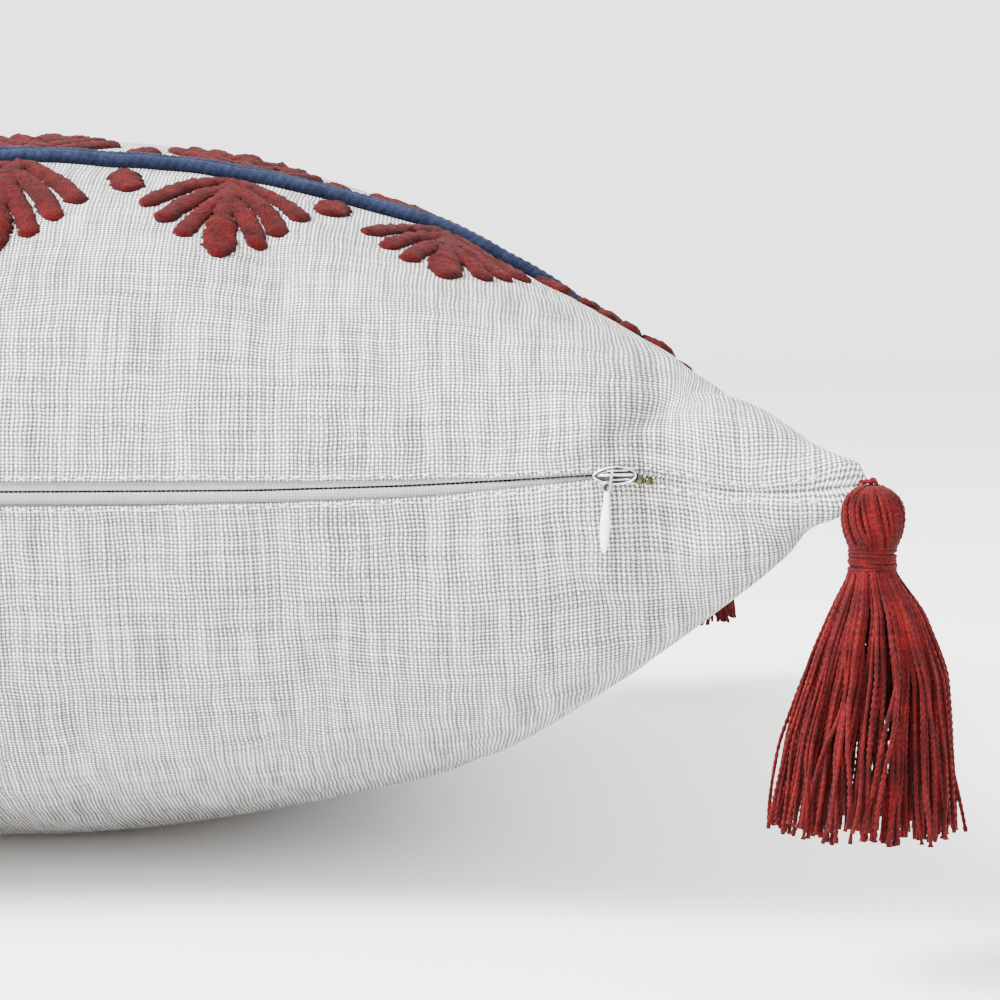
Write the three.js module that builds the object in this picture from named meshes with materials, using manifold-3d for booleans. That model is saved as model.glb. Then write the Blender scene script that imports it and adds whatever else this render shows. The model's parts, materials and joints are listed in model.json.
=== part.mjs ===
// Square throw pillow: a zipped, embroidered cover over a stuffed insert, with a
// tassel on each corner. Millimetres, +Z up, the zipper edge faces -Y. The origin is
// the centre of the flat patch that the pillow rests on.
import * as THREE from 'three';
import { mergeVertices } from 'three/addons/utils/BufferGeometryUtils.js';
import Module from 'manifold-3d';

const wasm = await Module();
wasm.setup();

// ---- Cover: the outline of its seam, seen from above, and its bulge
const HALF_WIDTH = 239;         // centre to corner along X
const HALF_DEPTH = 239;         // centre to corner along Y
const SIDE_BOW = 44;            // how far the middle of a side pulls in
const FRONT_RISE = 107;         // seam to the crown of the front
const BACK_DROP = 122.5;        // seam to the surface that the back rests on
const BACK_SAG = 3;             // how far the back would bulge on if nothing held it
const CORNER_LIFT = 5.5;        // the corners turn up this far above the sides' middles
const BULGE_POWER = 1.92;       // superellipse of a cut through the middle
const BULGE_ROUND = 0.422;
const CORNER_THIN = 0.08;       // share by which the bulge thins towards the corners
const CORNER_THIN_POWER = 5;

// ---- Cloth and clearances
const COVER_CLOTH = 1.2;
const CASING_CLOTH = 0.8;
const SEAM_GAP = 0.4;           // between the two panels of a seam
const LAYER_GAP = 0.6;          // between the casing and its filling
const INSERT_EDGE_GAP = 9.8;    // inside of the cover to the insert's seam
const INSERT_CROWN_GAP = 1.2;   // inside of the cover to the insert's crown
const CLEAR = 0.3;

// ---- Zipper
const ZIP_HALF = 189;           // half the length of the tapes
const ZIP_LIP_UPPER = 2.8;      // slit to the front panel's folded edge
const ZIP_LIP_LOWER = 4.0;      // slit to the back panel's folded edge
const SLIT_HALF = 0.6;
const TAPE_THICK = 0.5;
const TAPE_REACH = 12;          // slit to the far edge of a tape
const COIL_THICK = 1.2;
const COIL_WIDTH = 1.5;
const STOP_LENGTH = 2;
const STOP_CAP = 0.5;           // its cap stands this far off the cloth
const STOP_CAP_THICK = 0.6;
const STOP_HALF_HEIGHT = 1.2;
const SLIDER_LENGTH = 10.5;
const SLIDER_HEIGHT = 4.4;
const SLIDER_NOSE = 1.2;        // height of its pointed end
const SLIDER_TAIL = 3.5;        // height of its square end
const BACK_PLATE_LENGTH = 9.5;
const SLIDER_SHIFT = 0.3;       // its middle above the slit
const PLATE_THICK = 1.5;
const BACK_PLATE_THICK = 0.8;
const NECK_LENGTH = 4;
const SLIDER_PROUD = 0.4;       // the front plate stands this far off the cloth
const SLIDER_STOP_GAP = 1.1;

// ---- Pull: crown, wire link and teardrop tab
const CROWN_LENGTH = 6;
const CROWN_WIDTH = 1.0;
const CROWN_THICK = 0.6;
const CROWN_POST = 0.8;
const WIRE = 0.8;
const LINK_RADIUS = 1.25;       // centre line of the link's round ends
const LINK_STRAIGHT = 2.7;
const LINK_PLACE = -1;          // along the crown, from its middle
const EYE_HOLE = 1.7;
const EYE_OUTER = 3.2;
const TAB_THICK = 0.9;
const TAB_LENGTH = 16.6;        // eye centre to the tip
const TAB_WIDTH = 2.6;
const TAB_NECK = 1.0;
const TAB_NECK_END = 3.4;       // eye centre to the neck's end

// ---- Tassel
const ANCHOR_REACH = 2.4;       // corner to the thread bar that the tassel hangs on
const ANCHOR_HALF = 2.6;
const THREAD = 1.0;
const LOOP_RADIUS = 1.25;
const LOOP_STRAIGHT = 1.25;
const HEAD_GAP = 0.5;           // loop to the top of the head
const HEAD_RADIUS = 8;
const HEAD_HEIGHT = 15;
const NECK_RADIUS = 5.2;
const BINDING_HEIGHT = 7.6;
const BINDING_THICK = 0.9;
const SKIRT_LENGTH = 58;
const SKIRT_TOP_RADIUS = 5.9;
const SKIRT_RADIUS = 22;

// ---- Embroidered ropes on the front: two bands of two
const ROPE = 3.0;
const ROPE_PITCH = 3.5;
const BAND_REACH = 104.5;         // over the cloth, from the middle of the front to a band
const ROPE_END = 0.985;         // share of the half width where a rope tucks into the seam

const ZIP_GAP_HALF = ZIP_HALF + 2.5;   // half the length of the gap between the folded edges
const SEAM_Z = BACK_DROP;
const QUARTER_TURN = Math.PI / 2;
const MERGE_TOLERANCE = 1e-4;

function material(color, roughness, metalness = 0) {
  return new THREE.MeshStandardMaterial({ color, roughness, metalness });
}

const LINEN = material(0xedeceb, 0.95);
const CASING = material(0xf2f1ee, 0.9);
const FIBRE = material(0xf7f7f5, 1);
const TAPE = material(0xc9c9cb, 0.8);
const COIL = material(0xd8d8d8, 0.5);
const STEEL = material(0xb8b8ba, 0.3, 1);
const ENAMEL = material(0xf1f1ef, 0.2);
const CRIMSON = material(0xa82e36, 0.9);
const NAVY = material(0x2c3f68, 0.9);

function named(name, geometry, surface) {
  const mesh = new THREE.Mesh(geometry, surface);
  mesh.name = name;
  return mesh;
}

// ---- Joining solids
function toSolid(geometry) {
  const plain = geometry.clone();
  plain.deleteAttribute('normal');
  plain.deleteAttribute('uv');
  const merged = mergeVertices(plain, MERGE_TOLERANCE);
  return new wasm.Manifold(new wasm.Mesh({
    numProp: 3,
    vertProperties: new Float32Array(merged.attributes.position.array),
    triVerts: new Uint32Array(merged.index.array),
  }));
}

function toGeometry(solid) {
  const mesh = solid.getMesh();
  const geometry = new THREE.BufferGeometry();
  geometry.setAttribute('position', new THREE.BufferAttribute(mesh.vertProperties, 3));
  geometry.setIndex(new THREE.BufferAttribute(mesh.triVerts, 1));
  return geometry;
}

function joined(...geometries) {
  return toGeometry(geometries.map(toSolid).reduce((whole, piece) => whole.add(piece)));
}

// ---- The pillow's surface. A layer is set in from the cover's outer surface by
// edge at the seam and by crown at the middle.
const COVER_OUTER = { edge: 0, crown: 0, seam: SEAM_GAP / 2, lips: true };
const COVER_INNER = { edge: COVER_CLOTH, crown: COVER_CLOTH, seam: SEAM_GAP / 2, lips: true };
const CASING_OUTER = {
  edge: COVER_CLOTH + INSERT_EDGE_GAP,
  crown: COVER_CLOTH + INSERT_CROWN_GAP,
  seam: SEAM_GAP / 2,
};
const CASING_INNER = {
  edge: CASING_OUTER.edge + CASING_CLOTH,
  crown: CASING_OUTER.crown + CASING_CLOTH,
  seam: SEAM_GAP / 2,
};
const FILLING_OUTER = {
  edge: CASING_INNER.edge + LAYER_GAP,
  crown: CASING_INNER.crown + LAYER_GAP,
  seam: 0,
};

function bulge(u, v) {
  const across = 1 - Math.abs(u) ** BULGE_POWER;
  const along = 1 - Math.abs(v) ** BULGE_POWER;
  const thinning = 1 - CORNER_THIN * Math.abs(u * v) ** CORNER_THIN_POWER;
  return Math.max(across * along, 0) ** BULGE_ROUND * thinning;
}

// Each side of the seam is an arc of a circle that bows in between two corners. The
// arc's plane leans, so that the corners are higher than the middle of the side.
const SEAM_LEAN = CORNER_LIFT / SIDE_BOW;
const LEANING_BOW = Math.hypot(SIDE_BOW, CORNER_LIFT);

function arcRadius(half, bow) {
  return (half * half + bow * bow) / (2 * bow);
}

const EDGE_RADIUS = arcRadius(HALF_WIDTH, LEANING_BOW);
const ZIP_GAP_X = EDGE_RADIUS * Math.sin(ZIP_GAP_HALF / EDGE_RADIUS);

function bowInset(along, half) {
  const radius = arcRadius(half, SIDE_BOW);
  return Math.sqrt(radius * radius - along * along) - (radius - SIDE_BOW);
}

// How far a place along a side has come from its middle, 0, to a corner, 1.
function cornerShare(along, half) {
  return 1 - bowInset(along, half) / SIDE_BOW;
}

// Half the gap between the panels: wide along the zipper, where the tapes show.
function seamHalfGap(u, v, side, layer) {
  const atZipper = layer.lips && v === -1 && Math.abs(u) * HALF_WIDTH < ZIP_GAP_X + CLEAR;
  if (!atZipper) {
    return layer.seam;
  }
  return side > 0 ? ZIP_LIP_UPPER : ZIP_LIP_LOWER;
}

function surfacePoint(u, v, side, layer) {
  const gap = seamHalfGap(u, v, side, layer);
  const lean = v === -1 ? side * gap * SEAM_LEAN : 0;
  const x = u * (HALF_WIDTH - layer.edge - bowInset(v * HALF_DEPTH, HALF_DEPTH));
  const y = v * (HALF_DEPTH - layer.edge - bowInset(u * HALF_WIDTH, HALF_WIDTH)) + lean;
  const reach = side > 0 ? FRONT_RISE : BACK_DROP + BACK_SAG;
  const height = gap + (reach - layer.crown - gap) * bulge(u, v);
  const nearCorner = cornerShare(u * HALF_WIDTH, HALF_WIDTH) * cornerShare(v * HALF_DEPTH, HALF_DEPTH);
  const lift = CORNER_LIFT * nearCorner;
  const z = Math.max(SEAM_Z + side * height + lift, layer.crown);
  return new THREE.Vector3(x, y, z);
}

// Grid lines are close together at the seams, and two of them bracket each zipper end.
const ZIP_COLUMNS = 5;
const END_COLUMNS = 3;
const ROWS = 14;
const ZIP_BRACKET = 6;

function columns() {
  const half = [];
  for (let i = 1; i <= ZIP_COLUMNS; i += 1) {
    half.push((ZIP_GAP_X * i) / ZIP_COLUMNS / HALF_WIDTH);
  }
  const start = (ZIP_GAP_X + ZIP_BRACKET) / HALF_WIDTH;
  for (let i = 0; i <= END_COLUMNS; i += 1) {
    half.push(start + (1 - start) * Math.sin(QUARTER_TURN * (i / END_COLUMNS)));
  }
  return [...half.map((u) => -u).reverse(), 0, ...half];
}

function rows() {
  return Array.from({ length: ROWS + 1 }, (_, j) => {
    const share = (2 * j) / ROWS - 1;
    return Math.abs(share) === 1 ? share : Math.sin(QUARTER_TURN * share);
  });
}

const U_LINES = columns();
const V_LINES = rows();

class MeshMaker {
  constructor() {
    this.positions = [];
    this.index = [];
  }

  grid(side, layer) {
    const first = this.positions.length / 3;
    for (const v of V_LINES) {
      for (const u of U_LINES) {
        this.positions.push(...surfacePoint(u, v, side, layer).toArray());
      }
    }
    return (i, j) => first + j * U_LINES.length + i;
  }

  triangle(a, b, c, flipped) {
    this.index.push(a, flipped ? c : b, flipped ? b : c);
  }

  quad(a, b, c, d, flipped) {
    this.triangle(a, b, c, flipped);
    this.triangle(a, c, d, flipped);
  }

  surface(at, flipped) {
    for (let j = 0; j < V_LINES.length - 1; j += 1) {
      for (let i = 0; i < U_LINES.length - 1; i += 1) {
        this.quad(at(i, j), at(i + 1, j), at(i + 1, j + 1), at(i, j + 1), flipped);
      }
    }
  }

  geometry() {
    const geometry = new THREE.BufferGeometry();
    geometry.setAttribute('position', new THREE.Float32BufferAttribute(this.positions, 3));
    geometry.setIndex(this.index);
    return geometry;
  }
}

// Grid places along the seam, anticlockwise seen from above.
function seamLoop() {
  const lastI = U_LINES.length - 1;
  const lastJ = V_LINES.length - 1;
  const near = Array.from({ length: lastI }, (_, i) => [i, 0]);
  const right = Array.from({ length: lastJ }, (_, j) => [lastI, j]);
  const far = Array.from({ length: lastI }, (_, i) => [lastI - i, lastJ]);
  const left = Array.from({ length: lastJ }, (_, j) => [0, lastJ - j]);
  return [...near, ...right, ...far, ...left];
}

// One panel: a thin domed shell, open at the seam.
function panelGeometry(side, outer, inner) {
  const maker = new MeshMaker();
  const outerAt = maker.grid(side, outer);
  const innerAt = maker.grid(side, inner);
  const flipped = side < 0;
  maker.surface(outerAt, flipped);
  maker.surface(innerAt, !flipped);
  const loop = seamLoop();
  loop.forEach(([i, j], k) => {
    const [nextI, nextJ] = loop[(k + 1) % loop.length];
    maker.quad(outerAt(nextI, nextJ), outerAt(i, j), innerAt(i, j), innerAt(nextI, nextJ), flipped);
  });
  return maker.geometry();
}

function fillingGeometry() {
  const maker = new MeshMaker();
  maker.surface(maker.grid(1, FILLING_OUTER), false);
  maker.surface(maker.grid(-1, FILLING_OUTER), true);
  return maker.geometry();
}

function cover() {
  const group = new THREE.Group();
  group.add(named('front_panel', panelGeometry(1, COVER_OUTER, COVER_INNER), LINEN));
  group.add(named('back_panel', panelGeometry(-1, COVER_OUTER, COVER_INNER), LINEN));
  return group;
}

function insert() {
  const group = new THREE.Group();
  group.add(named('insert_casing_front', panelGeometry(1, CASING_OUTER, CASING_INNER), CASING));
  group.add(named('insert_casing_back', panelGeometry(-1, CASING_OUTER, CASING_INNER), CASING));
  group.add(named('insert_filling', fillingGeometry(), FIBRE));
  return group;
}

// ---- Zipper. It follows the arc of the near edge. Its pieces are made straight, with
// depths measured inwards from the edge, and then bent or turned onto the arc. The
// group's origin is the middle of the edge, and the group leans as the seam does.
const ZIPPER_ORIGIN = new THREE.Vector3(0, SIDE_BOW - HALF_DEPTH, SEAM_Z);
const ZIPPER_TILT = -Math.atan(SEAM_LEAN);
const BEND_STEPS = 20;
const TAPE_DEPTH = COVER_CLOTH + CLEAR;
const COIL_DEPTH = TAPE_DEPTH + TAPE_THICK + CLEAR;
const BACK_PLATE_DEPTH = COIL_DEPTH + COIL_THICK + CLEAR;
const CLOSED_STOP = ZIP_HALF - STOP_LENGTH;
const SLIDER_CLOSED = CLOSED_STOP - SLIDER_STOP_GAP - SLIDER_LENGTH / 2;

function onArc(along, depth = 0) {
  const angle = along / EDGE_RADIUS;
  const radius = EDGE_RADIUS + depth;
  return [radius * Math.sin(angle), radius * Math.cos(angle) - EDGE_RADIUS];
}

// An outline in depth and height, run along the edge's arc.
function alongEdge(points, length) {
  const shape = new THREE.Shape(points.map(([depth, height]) => new THREE.Vector2(depth, height)));
  const options = { depth: length, steps: BEND_STEPS, bevelEnabled: false };
  const geometry = new THREE.ExtrudeGeometry(shape, options);
  const position = geometry.attributes.position;
  for (let k = 0; k < position.count; k += 1) {
    const [x, y] = onArc(position.getZ(k) - length / 2, position.getX(k));
    position.setXYZ(k, x, y, position.getY(k));
  }
  return geometry;
}

// Sets a group or mesh on the arc, turned to face along it.
function placeOnArc(object, along) {
  const [x, y] = onArc(along);
  object.position.set(x, y, 0);
  object.rotation.z = -along / EDGE_RADIUS;
  return object;
}

// An outline in X and height, run inwards from a depth.
function inwards(shape, depth, thick, segments = 8) {
  const options = { depth: thick, bevelEnabled: false, curveSegments: segments };
  const geometry = new THREE.ExtrudeGeometry(shape, options);
  geometry.rotateX(QUARTER_TURN);
  geometry.translate(0, depth + thick, 0);
  return geometry;
}

function block(lengthX, depth, thick, low, high) {
  const geometry = new THREE.BoxGeometry(lengthX, thick, high - low);
  geometry.translate(0, depth + thick / 2, (low + high) / 2);
  return geometry;
}

// How fast the panel's wall runs inwards past its folded edge, where it is steepest.
function wallSlope(side, lip) {
  const wall = surfacePoint(ZIP_GAP_X / HALF_WIDTH, V_LINES[1], side, COVER_INNER);
  wall.sub(ZIPPER_ORIGIN).applyEuler(new THREE.Euler(-ZIPPER_TILT, 0, 0));
  const depth = Math.hypot(wall.x, wall.y + EDGE_RADIUS) - EDGE_RADIUS;
  return (depth - COVER_CLOTH) / (Math.abs(wall.z) - lip);
}

function tapeGeometry(side, lip) {
  const far = TAPE_DEPTH + wallSlope(side, lip) * (TAPE_REACH - lip);
  const outline = [
    [TAPE_DEPTH, side * SLIT_HALF],
    [TAPE_DEPTH, side * lip],
    [far, side * TAPE_REACH],
    [far + TAPE_THICK, side * TAPE_REACH],
    [TAPE_DEPTH + TAPE_THICK, side * lip],
    [TAPE_DEPTH + TAPE_THICK, side * SLIT_HALF],
  ];
  return alongEdge(outline, 2 * ZIP_HALF);
}

function coilGeometry(side) {
  const outline = [
    [COIL_DEPTH, side * SLIT_HALF],
    [COIL_DEPTH, side * (SLIT_HALF + COIL_WIDTH)],
    [COIL_DEPTH + COIL_THICK, side * (SLIT_HALF + COIL_WIDTH)],
    [COIL_DEPTH + COIL_THICK, side * SLIT_HALF],
  ];
  return alongEdge(outline, 2 * (CLOSED_STOP - CLEAR));
}

function stopGeometry() {
  const half = SLIT_HALF - CLEAR;
  const stemThick = COIL_DEPTH + COIL_THICK + SLIDER_PROUD;
  const stem = block(STOP_LENGTH, -SLIDER_PROUD, stemThick, -half, half);
  const capDepth = -SLIDER_PROUD - STOP_CAP;
  const cap = block(STOP_LENGTH, capDepth, STOP_CAP_THICK, -STOP_HALF_HEIGHT, STOP_HALF_HEIGHT);
  return joined(stem, cap);
}

// The front plate is pointed at the end that closes the coils.
function plateShape() {
  const half = SLIDER_LENGTH / 2;
  const nose = SLIDER_NOSE / 2;
  const high = SLIDER_HEIGHT / 2;
  const tail = SLIDER_TAIL / 2;
  const shape = new THREE.Shape();
  shape.moveTo(-half, -nose);
  shape.quadraticCurveTo(-half / 2, -high, 0, -high);
  shape.lineTo(half, -tail);
  shape.lineTo(half, tail);
  shape.lineTo(0, high);
  shape.quadraticCurveTo(-half / 2, high, -half, nose);
  shape.closePath();
  return shape;
}

function sliderBodyGeometry() {
  const plate = inwards(plateShape(), -SLIDER_PROUD - PLATE_THICK, PLATE_THICK, 4);
  plate.translate(0, 0, SLIDER_SHIFT);
  const neckHalf = SLIT_HALF - CLEAR;
  const neckDepth = -SLIDER_PROUD - PLATE_THICK / 2;
  const neckThick = BACK_PLATE_DEPTH - neckDepth + BACK_PLATE_THICK / 2;
  const neck = block(NECK_LENGTH, neckDepth, neckThick, -neckHalf, neckHalf);
  const half = SLIDER_HEIGHT / 2;
  const back = block(BACK_PLATE_LENGTH, BACK_PLATE_DEPTH, BACK_PLATE_THICK, -half, half);
  return joined(plate, neck, back);
}

// The crown's strap stands off far enough for the link to turn around it.
const STRAP_DEPTH = -SLIDER_PROUD - PLATE_THICK - CLEAR - WIRE / 2 - LINK_RADIUS;

function crownGeometry() {
  const half = CROWN_LENGTH / 2;
  const inner = half - CROWN_POST;
  const top = STRAP_DEPTH - CROWN_THICK / 2;
  const under = STRAP_DEPTH + CROWN_THICK / 2;
  const foot = -SLIDER_PROUD - PLATE_THICK - CLEAR;
  const outline = [
    [-half, foot], [-half, top], [half, top], [half, foot],
    [inner, foot], [inner, under], [-inner, under], [-inner, foot],
  ];
  const shape = new THREE.Shape(outline.map(([x, depth]) => new THREE.Vector2(x, depth)));
  const geometry = new THREE.ExtrudeGeometry(shape, { depth: CROWN_WIDTH, bevelEnabled: false });
  geometry.translate(0, 0, SLIDER_SHIFT - CROWN_WIDTH / 2);
  return geometry;
}

// A ring of wire, drawn out along its own Y by a straight stretch, top at Y = 0.
function chainLink(radius, wire, straight, around = 12, sides = 6) {
  const geometry = new THREE.TorusGeometry(radius, wire / 2, sides, around);
  geometry.rotateZ(Math.PI / around);
  const position = geometry.attributes.position;
  for (let k = 0; k < position.count; k += 1) {
    const lower = position.getY(k) < 0;
    position.setY(k, position.getY(k) - (lower ? straight : 0));
  }
  return geometry;
}

// The wire crosses the slider's strap, so the ring lies in the YZ plane.
function linkGeometry() {
  const geometry = chainLink(LINK_RADIUS, WIRE, LINK_STRAIGHT);
  geometry.rotateX(QUARTER_TURN);
  geometry.rotateZ(QUARTER_TURN);
  return geometry;
}

// A teardrop below a round eye. The origin is where the link's wire crosses the eye.
const EYE_DROP = (EYE_HOLE - WIRE) / 2 - CLEAR;

function tabGeometry() {
  const eye = EYE_OUTER / 2;
  const neck = TAB_NECK / 2;
  const wide = TAB_WIDTH / 2;
  const shoulder = Math.sqrt(eye * eye - neck * neck);
  const shape = new THREE.Shape();
  const start = Math.atan2(-shoulder, neck);
  shape.absarc(0, 0, eye, start, Math.PI - start, false);
  shape.lineTo(-neck, -TAB_NECK_END);
  shape.bezierCurveTo(-neck - wide, -TAB_NECK_END * 2, -wide, -TAB_LENGTH, 0, -TAB_LENGTH);
  shape.bezierCurveTo(wide, -TAB_LENGTH, neck + wide, -TAB_NECK_END * 2, neck, -TAB_NECK_END);
  shape.closePath();
  const hole = new THREE.Path();
  hole.absarc(0, 0, EYE_HOLE / 2, 0, 2 * Math.PI, true);
  shape.holes.push(hole);
  const geometry = inwards(shape, -TAB_THICK / 2, TAB_THICK, 10);
  geometry.translate(0, 0, -EYE_DROP);
  return geometry;
}

function zipper() {
  const group = new THREE.Group();
  group.position.copy(ZIPPER_ORIGIN);
  group.rotation.x = ZIPPER_TILT;
  group.add(named('zip_tape_upper', tapeGeometry(1, ZIP_LIP_UPPER), TAPE));
  group.add(named('zip_tape_lower', tapeGeometry(-1, ZIP_LIP_LOWER), TAPE));
  group.add(named('zip_coil_upper', coilGeometry(1), COIL));
  group.add(named('zip_coil_lower', coilGeometry(-1), COIL));
  for (const [name, end] of [['zip_stop_open_end', -1], ['zip_stop_closed_end', 1]]) {
    const stop = named(name, stopGeometry(), STEEL);
    group.add(placeOnArc(stop, end * (ZIP_HALF - STOP_LENGTH / 2)));
  }
  const slider = placeOnArc(new THREE.Group(), SLIDER_CLOSED);
  slider.add(named('slider_body', sliderBodyGeometry(), STEEL));
  slider.add(named('slider_crown', crownGeometry(), STEEL));
  const link = named('pull_link', linkGeometry(), STEEL);
  link.position.set(LINK_PLACE, STRAP_DEPTH, SLIDER_SHIFT);
  slider.add(link);
  const tab = named('pull_tab', tabGeometry(), ENAMEL);
  tab.position.set(LINK_PLACE, STRAP_DEPTH, SLIDER_SHIFT - LINK_STRAIGHT - LINK_RADIUS);
  slider.add(tab);
  group.add(slider);
  return group;
}

// ---- Tassel. Its group's +X points out along the diagonal, and its origin is the
// middle of the thread bar that it hangs on.
function capsule(from, to, radius) {
  const along = new THREE.Vector3().subVectors(to, from);
  const geometry = new THREE.CapsuleGeometry(radius, along.length(), 2, 6);
  const turn = new THREE.Quaternion().setFromUnitVectors(
    new THREE.Vector3(0, 1, 0),
    along.clone().normalize(),
  );
  geometry.applyQuaternion(turn);
  const middle = new THREE.Vector3().addVectors(from, to).multiplyScalar(0.5);
  geometry.translate(middle.x, middle.y, middle.z);
  return geometry;
}

// A bar of thread held off the corner by two legs that run back to the seam.
function anchorGeometry() {
  const radius = THREAD / 2;
  const back = -(ANCHOR_REACH + ANCHOR_HALF - radius - 3 * CLEAR);
  const left = new THREE.Vector3(0, -ANCHOR_HALF, 0);
  const right = new THREE.Vector3(0, ANCHOR_HALF, 0);
  const leftFoot = new THREE.Vector3(back, -ANCHOR_HALF - radius, 0);
  const rightFoot = new THREE.Vector3(back, ANCHOR_HALF + radius, 0);
  return joined(
    capsule(left, right, radius),
    capsule(left, leftFoot, radius),
    capsule(right, rightFoot, radius),
  );
}

function loopGeometry() {
  const geometry = chainLink(LOOP_RADIUS, THREAD, LOOP_STRAIGHT);
  geometry.rotateX(QUARTER_TURN);
  return geometry;
}

const HOOK_Z = -LOOP_STRAIGHT - LOOP_RADIUS;
const HEAD_TOP = HOOK_Z - THREAD / 2 - HEAD_GAP;
const HEAD_BOTTOM = HEAD_TOP - HEAD_HEIGHT;
const BINDING_BOTTOM = HEAD_BOTTOM - BINDING_HEIGHT;

// An outline in radius and height, turned about Z.
function lathe(points, segments = 12) {
  const profile = points.map(([radius, z]) => new THREE.Vector2(radius, z));
  const geometry = new THREE.LatheGeometry(profile, segments);
  geometry.rotateX(QUARTER_TURN);
  return geometry;
}

// A bulb with a plain neck under it, and a thread eye on top that holds the loop.
function headGeometry() {
  const bulbSteps = 7;
  const startAngle = Math.asin(NECK_RADIUS / HEAD_RADIUS);
  const middle = HEAD_TOP - HEAD_HEIGHT / 2;
  const halfHeight = HEAD_HEIGHT / 2 / Math.cos(startAngle / 2);
  const points = [[0, BINDING_BOTTOM], [NECK_RADIUS, BINDING_BOTTOM]];
  for (let k = 0; k < bulbSteps; k += 1) {
    const angle = startAngle + ((Math.PI - startAngle) * k) / bulbSteps;
    points.push([HEAD_RADIUS * Math.sin(angle), middle - halfHeight * Math.cos(angle)]);
  }
  points.push([0, middle + halfHeight]);
  const eye = chainLink(LOOP_RADIUS, THREAD, LOOP_STRAIGHT);
  eye.rotateX(QUARTER_TURN);
  eye.rotateZ(QUARTER_TURN);
  eye.translate(0, 0, HOOK_Z);
  return joined(lathe(points), eye);
}

function bindingGeometry() {
  const inner = NECK_RADIUS + CLEAR;
  const outer = inner + BINDING_THICK;
  const top = HEAD_BOTTOM - CLEAR;
  const chamfer = BINDING_THICK / 3;
  return lathe([
    [inner, BINDING_BOTTOM],
    [outer - chamfer, BINDING_BOTTOM],
    [outer, BINDING_BOTTOM + chamfer],
    [outer, top - chamfer],
    [outer - chamfer, top],
    [inner, top],
    [inner, BINDING_BOTTOM],
  ]);
}

// The skirt flares quickly under the binding, then hangs nearly straight.
function skirtGeometry() {
  const steps = 5;
  const top = BINDING_BOTTOM - CLEAR;
  const points = [[0, top - SKIRT_LENGTH]];
  for (let k = steps; k >= 0; k -= 1) {
    const share = k / steps;
    const flare = Math.sin(QUARTER_TURN * share);
    const radius = SKIRT_TOP_RADIUS + (SKIRT_RADIUS - SKIRT_TOP_RADIUS) * flare;
    points.push([radius, top - SKIRT_LENGTH * share]);
  }
  points.push([0, top]);
  return lathe(points);
}

const CORNERS = [
  ['near_right', 1, -1],
  ['near_left', -1, -1],
  ['far_right', 1, 1],
  ['far_left', -1, 1],
];

function tassel(corner, signX, signY) {
  const group = new THREE.Group();
  const reach = ANCHOR_REACH * Math.SQRT1_2;
  group.position.set(
    signX * (HALF_WIDTH + reach),
    signY * (HALF_DEPTH + reach),
    SEAM_Z + CORNER_LIFT,
  );
  group.rotation.z = Math.atan2(signY, signX);
  group.add(named(`tassel_anchor_${corner}`, anchorGeometry(), CRIMSON));
  group.add(named(`tassel_loop_${corner}`, loopGeometry(), CRIMSON));
  group.add(named(`tassel_head_${corner}`, headGeometry(), CRIMSON));
  group.add(named(`tassel_binding_${corner}`, bindingGeometry(), CRIMSON));
  group.add(named(`tassel_skirt_${corner}`, skirtGeometry(), CRIMSON));
  return group;
}

// ---- A rope stitched across the front from seam to seam, at the same distance over
// the cloth from the middle all along.
const ROPE_STEPS = 24;
const ROPE_SIDES = 6;
const WALK_STEP = 0.01;
const NORMAL_STEP = 0.004;

function surfaceNormal(u, v) {
  const at = (du, dv) => surfacePoint(u + du, v + dv, 1, COVER_OUTER);
  const alongU = at(NORMAL_STEP, 0).sub(at(-NORMAL_STEP, 0));
  const alongV = at(0, NORMAL_STEP).sub(at(0, -NORMAL_STEP));
  return alongU.cross(alongV).normalize();
}

// Walks over the cloth from the middle line until it has come that far.
function placeOver(u, distance) {
  const way = Math.sign(distance);
  let left = Math.abs(distance);
  let v = 0;
  let here = surfacePoint(u, v, 1, COVER_OUTER);
  for (;;) {
    const next = surfacePoint(u, v + way * WALK_STEP, 1, COVER_OUTER);
    const length = next.distanceTo(here);
    if (length >= left) {
      return v + (way * WALK_STEP * left) / length;
    }
    left -= length;
    v += way * WALK_STEP;
    here = next;
  }
}

function ropeGeometry(distance) {
  const points = [];
  const lift = ROPE / 2 + CLEAR;
  for (let k = 0; k <= ROPE_STEPS; k += 1) {
    const u = ROPE_END * Math.sin(QUARTER_TURN * ((2 * k) / ROPE_STEPS - 1));
    const v = placeOver(u, distance);
    const middle = surfacePoint(u, v, 1, COVER_OUTER);
    points.push(middle.addScaledVector(surfaceNormal(u, v), lift));
  }
  const section = new THREE.Shape();
  section.absarc(0, 0, ROPE / 2, 0, 2 * Math.PI, false);
  return new THREE.ExtrudeGeometry(section, {
    steps: ROPE_STEPS * 2,
    curveSegments: ROPE_SIDES / 2,
    extrudePath: new THREE.CatmullRomCurve3(points),
  });
}

function embroideryRopes() {
  const group = new THREE.Group();
  for (const [band, middle] of [['near', -BAND_REACH], ['far', BAND_REACH]]) {
    for (const [place, shift] of [['a', -ROPE_PITCH / 2], ['b', ROPE_PITCH / 2]]) {
      group.add(named(`rope_${band}_${place}`, ropeGeometry(middle + shift), NAVY));
    }
  }
  return group;
}

const pillow = new THREE.Group();
pillow.add(cover());
pillow.add(insert());
pillow.add(zipper());
for (const [corner, signX, signY] of CORNERS) {
  pillow.add(tassel(corner, signX, signY));
}
pillow.add(embroideryRopes());

export default pillow;
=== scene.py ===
"""A square throw pillow lying flat: zipped linen cover with red and navy embroidery,
stuffed insert, and a tassel on each corner. Sizes are in millimetres until a mesh is
made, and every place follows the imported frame."""
import json
import math

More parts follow.
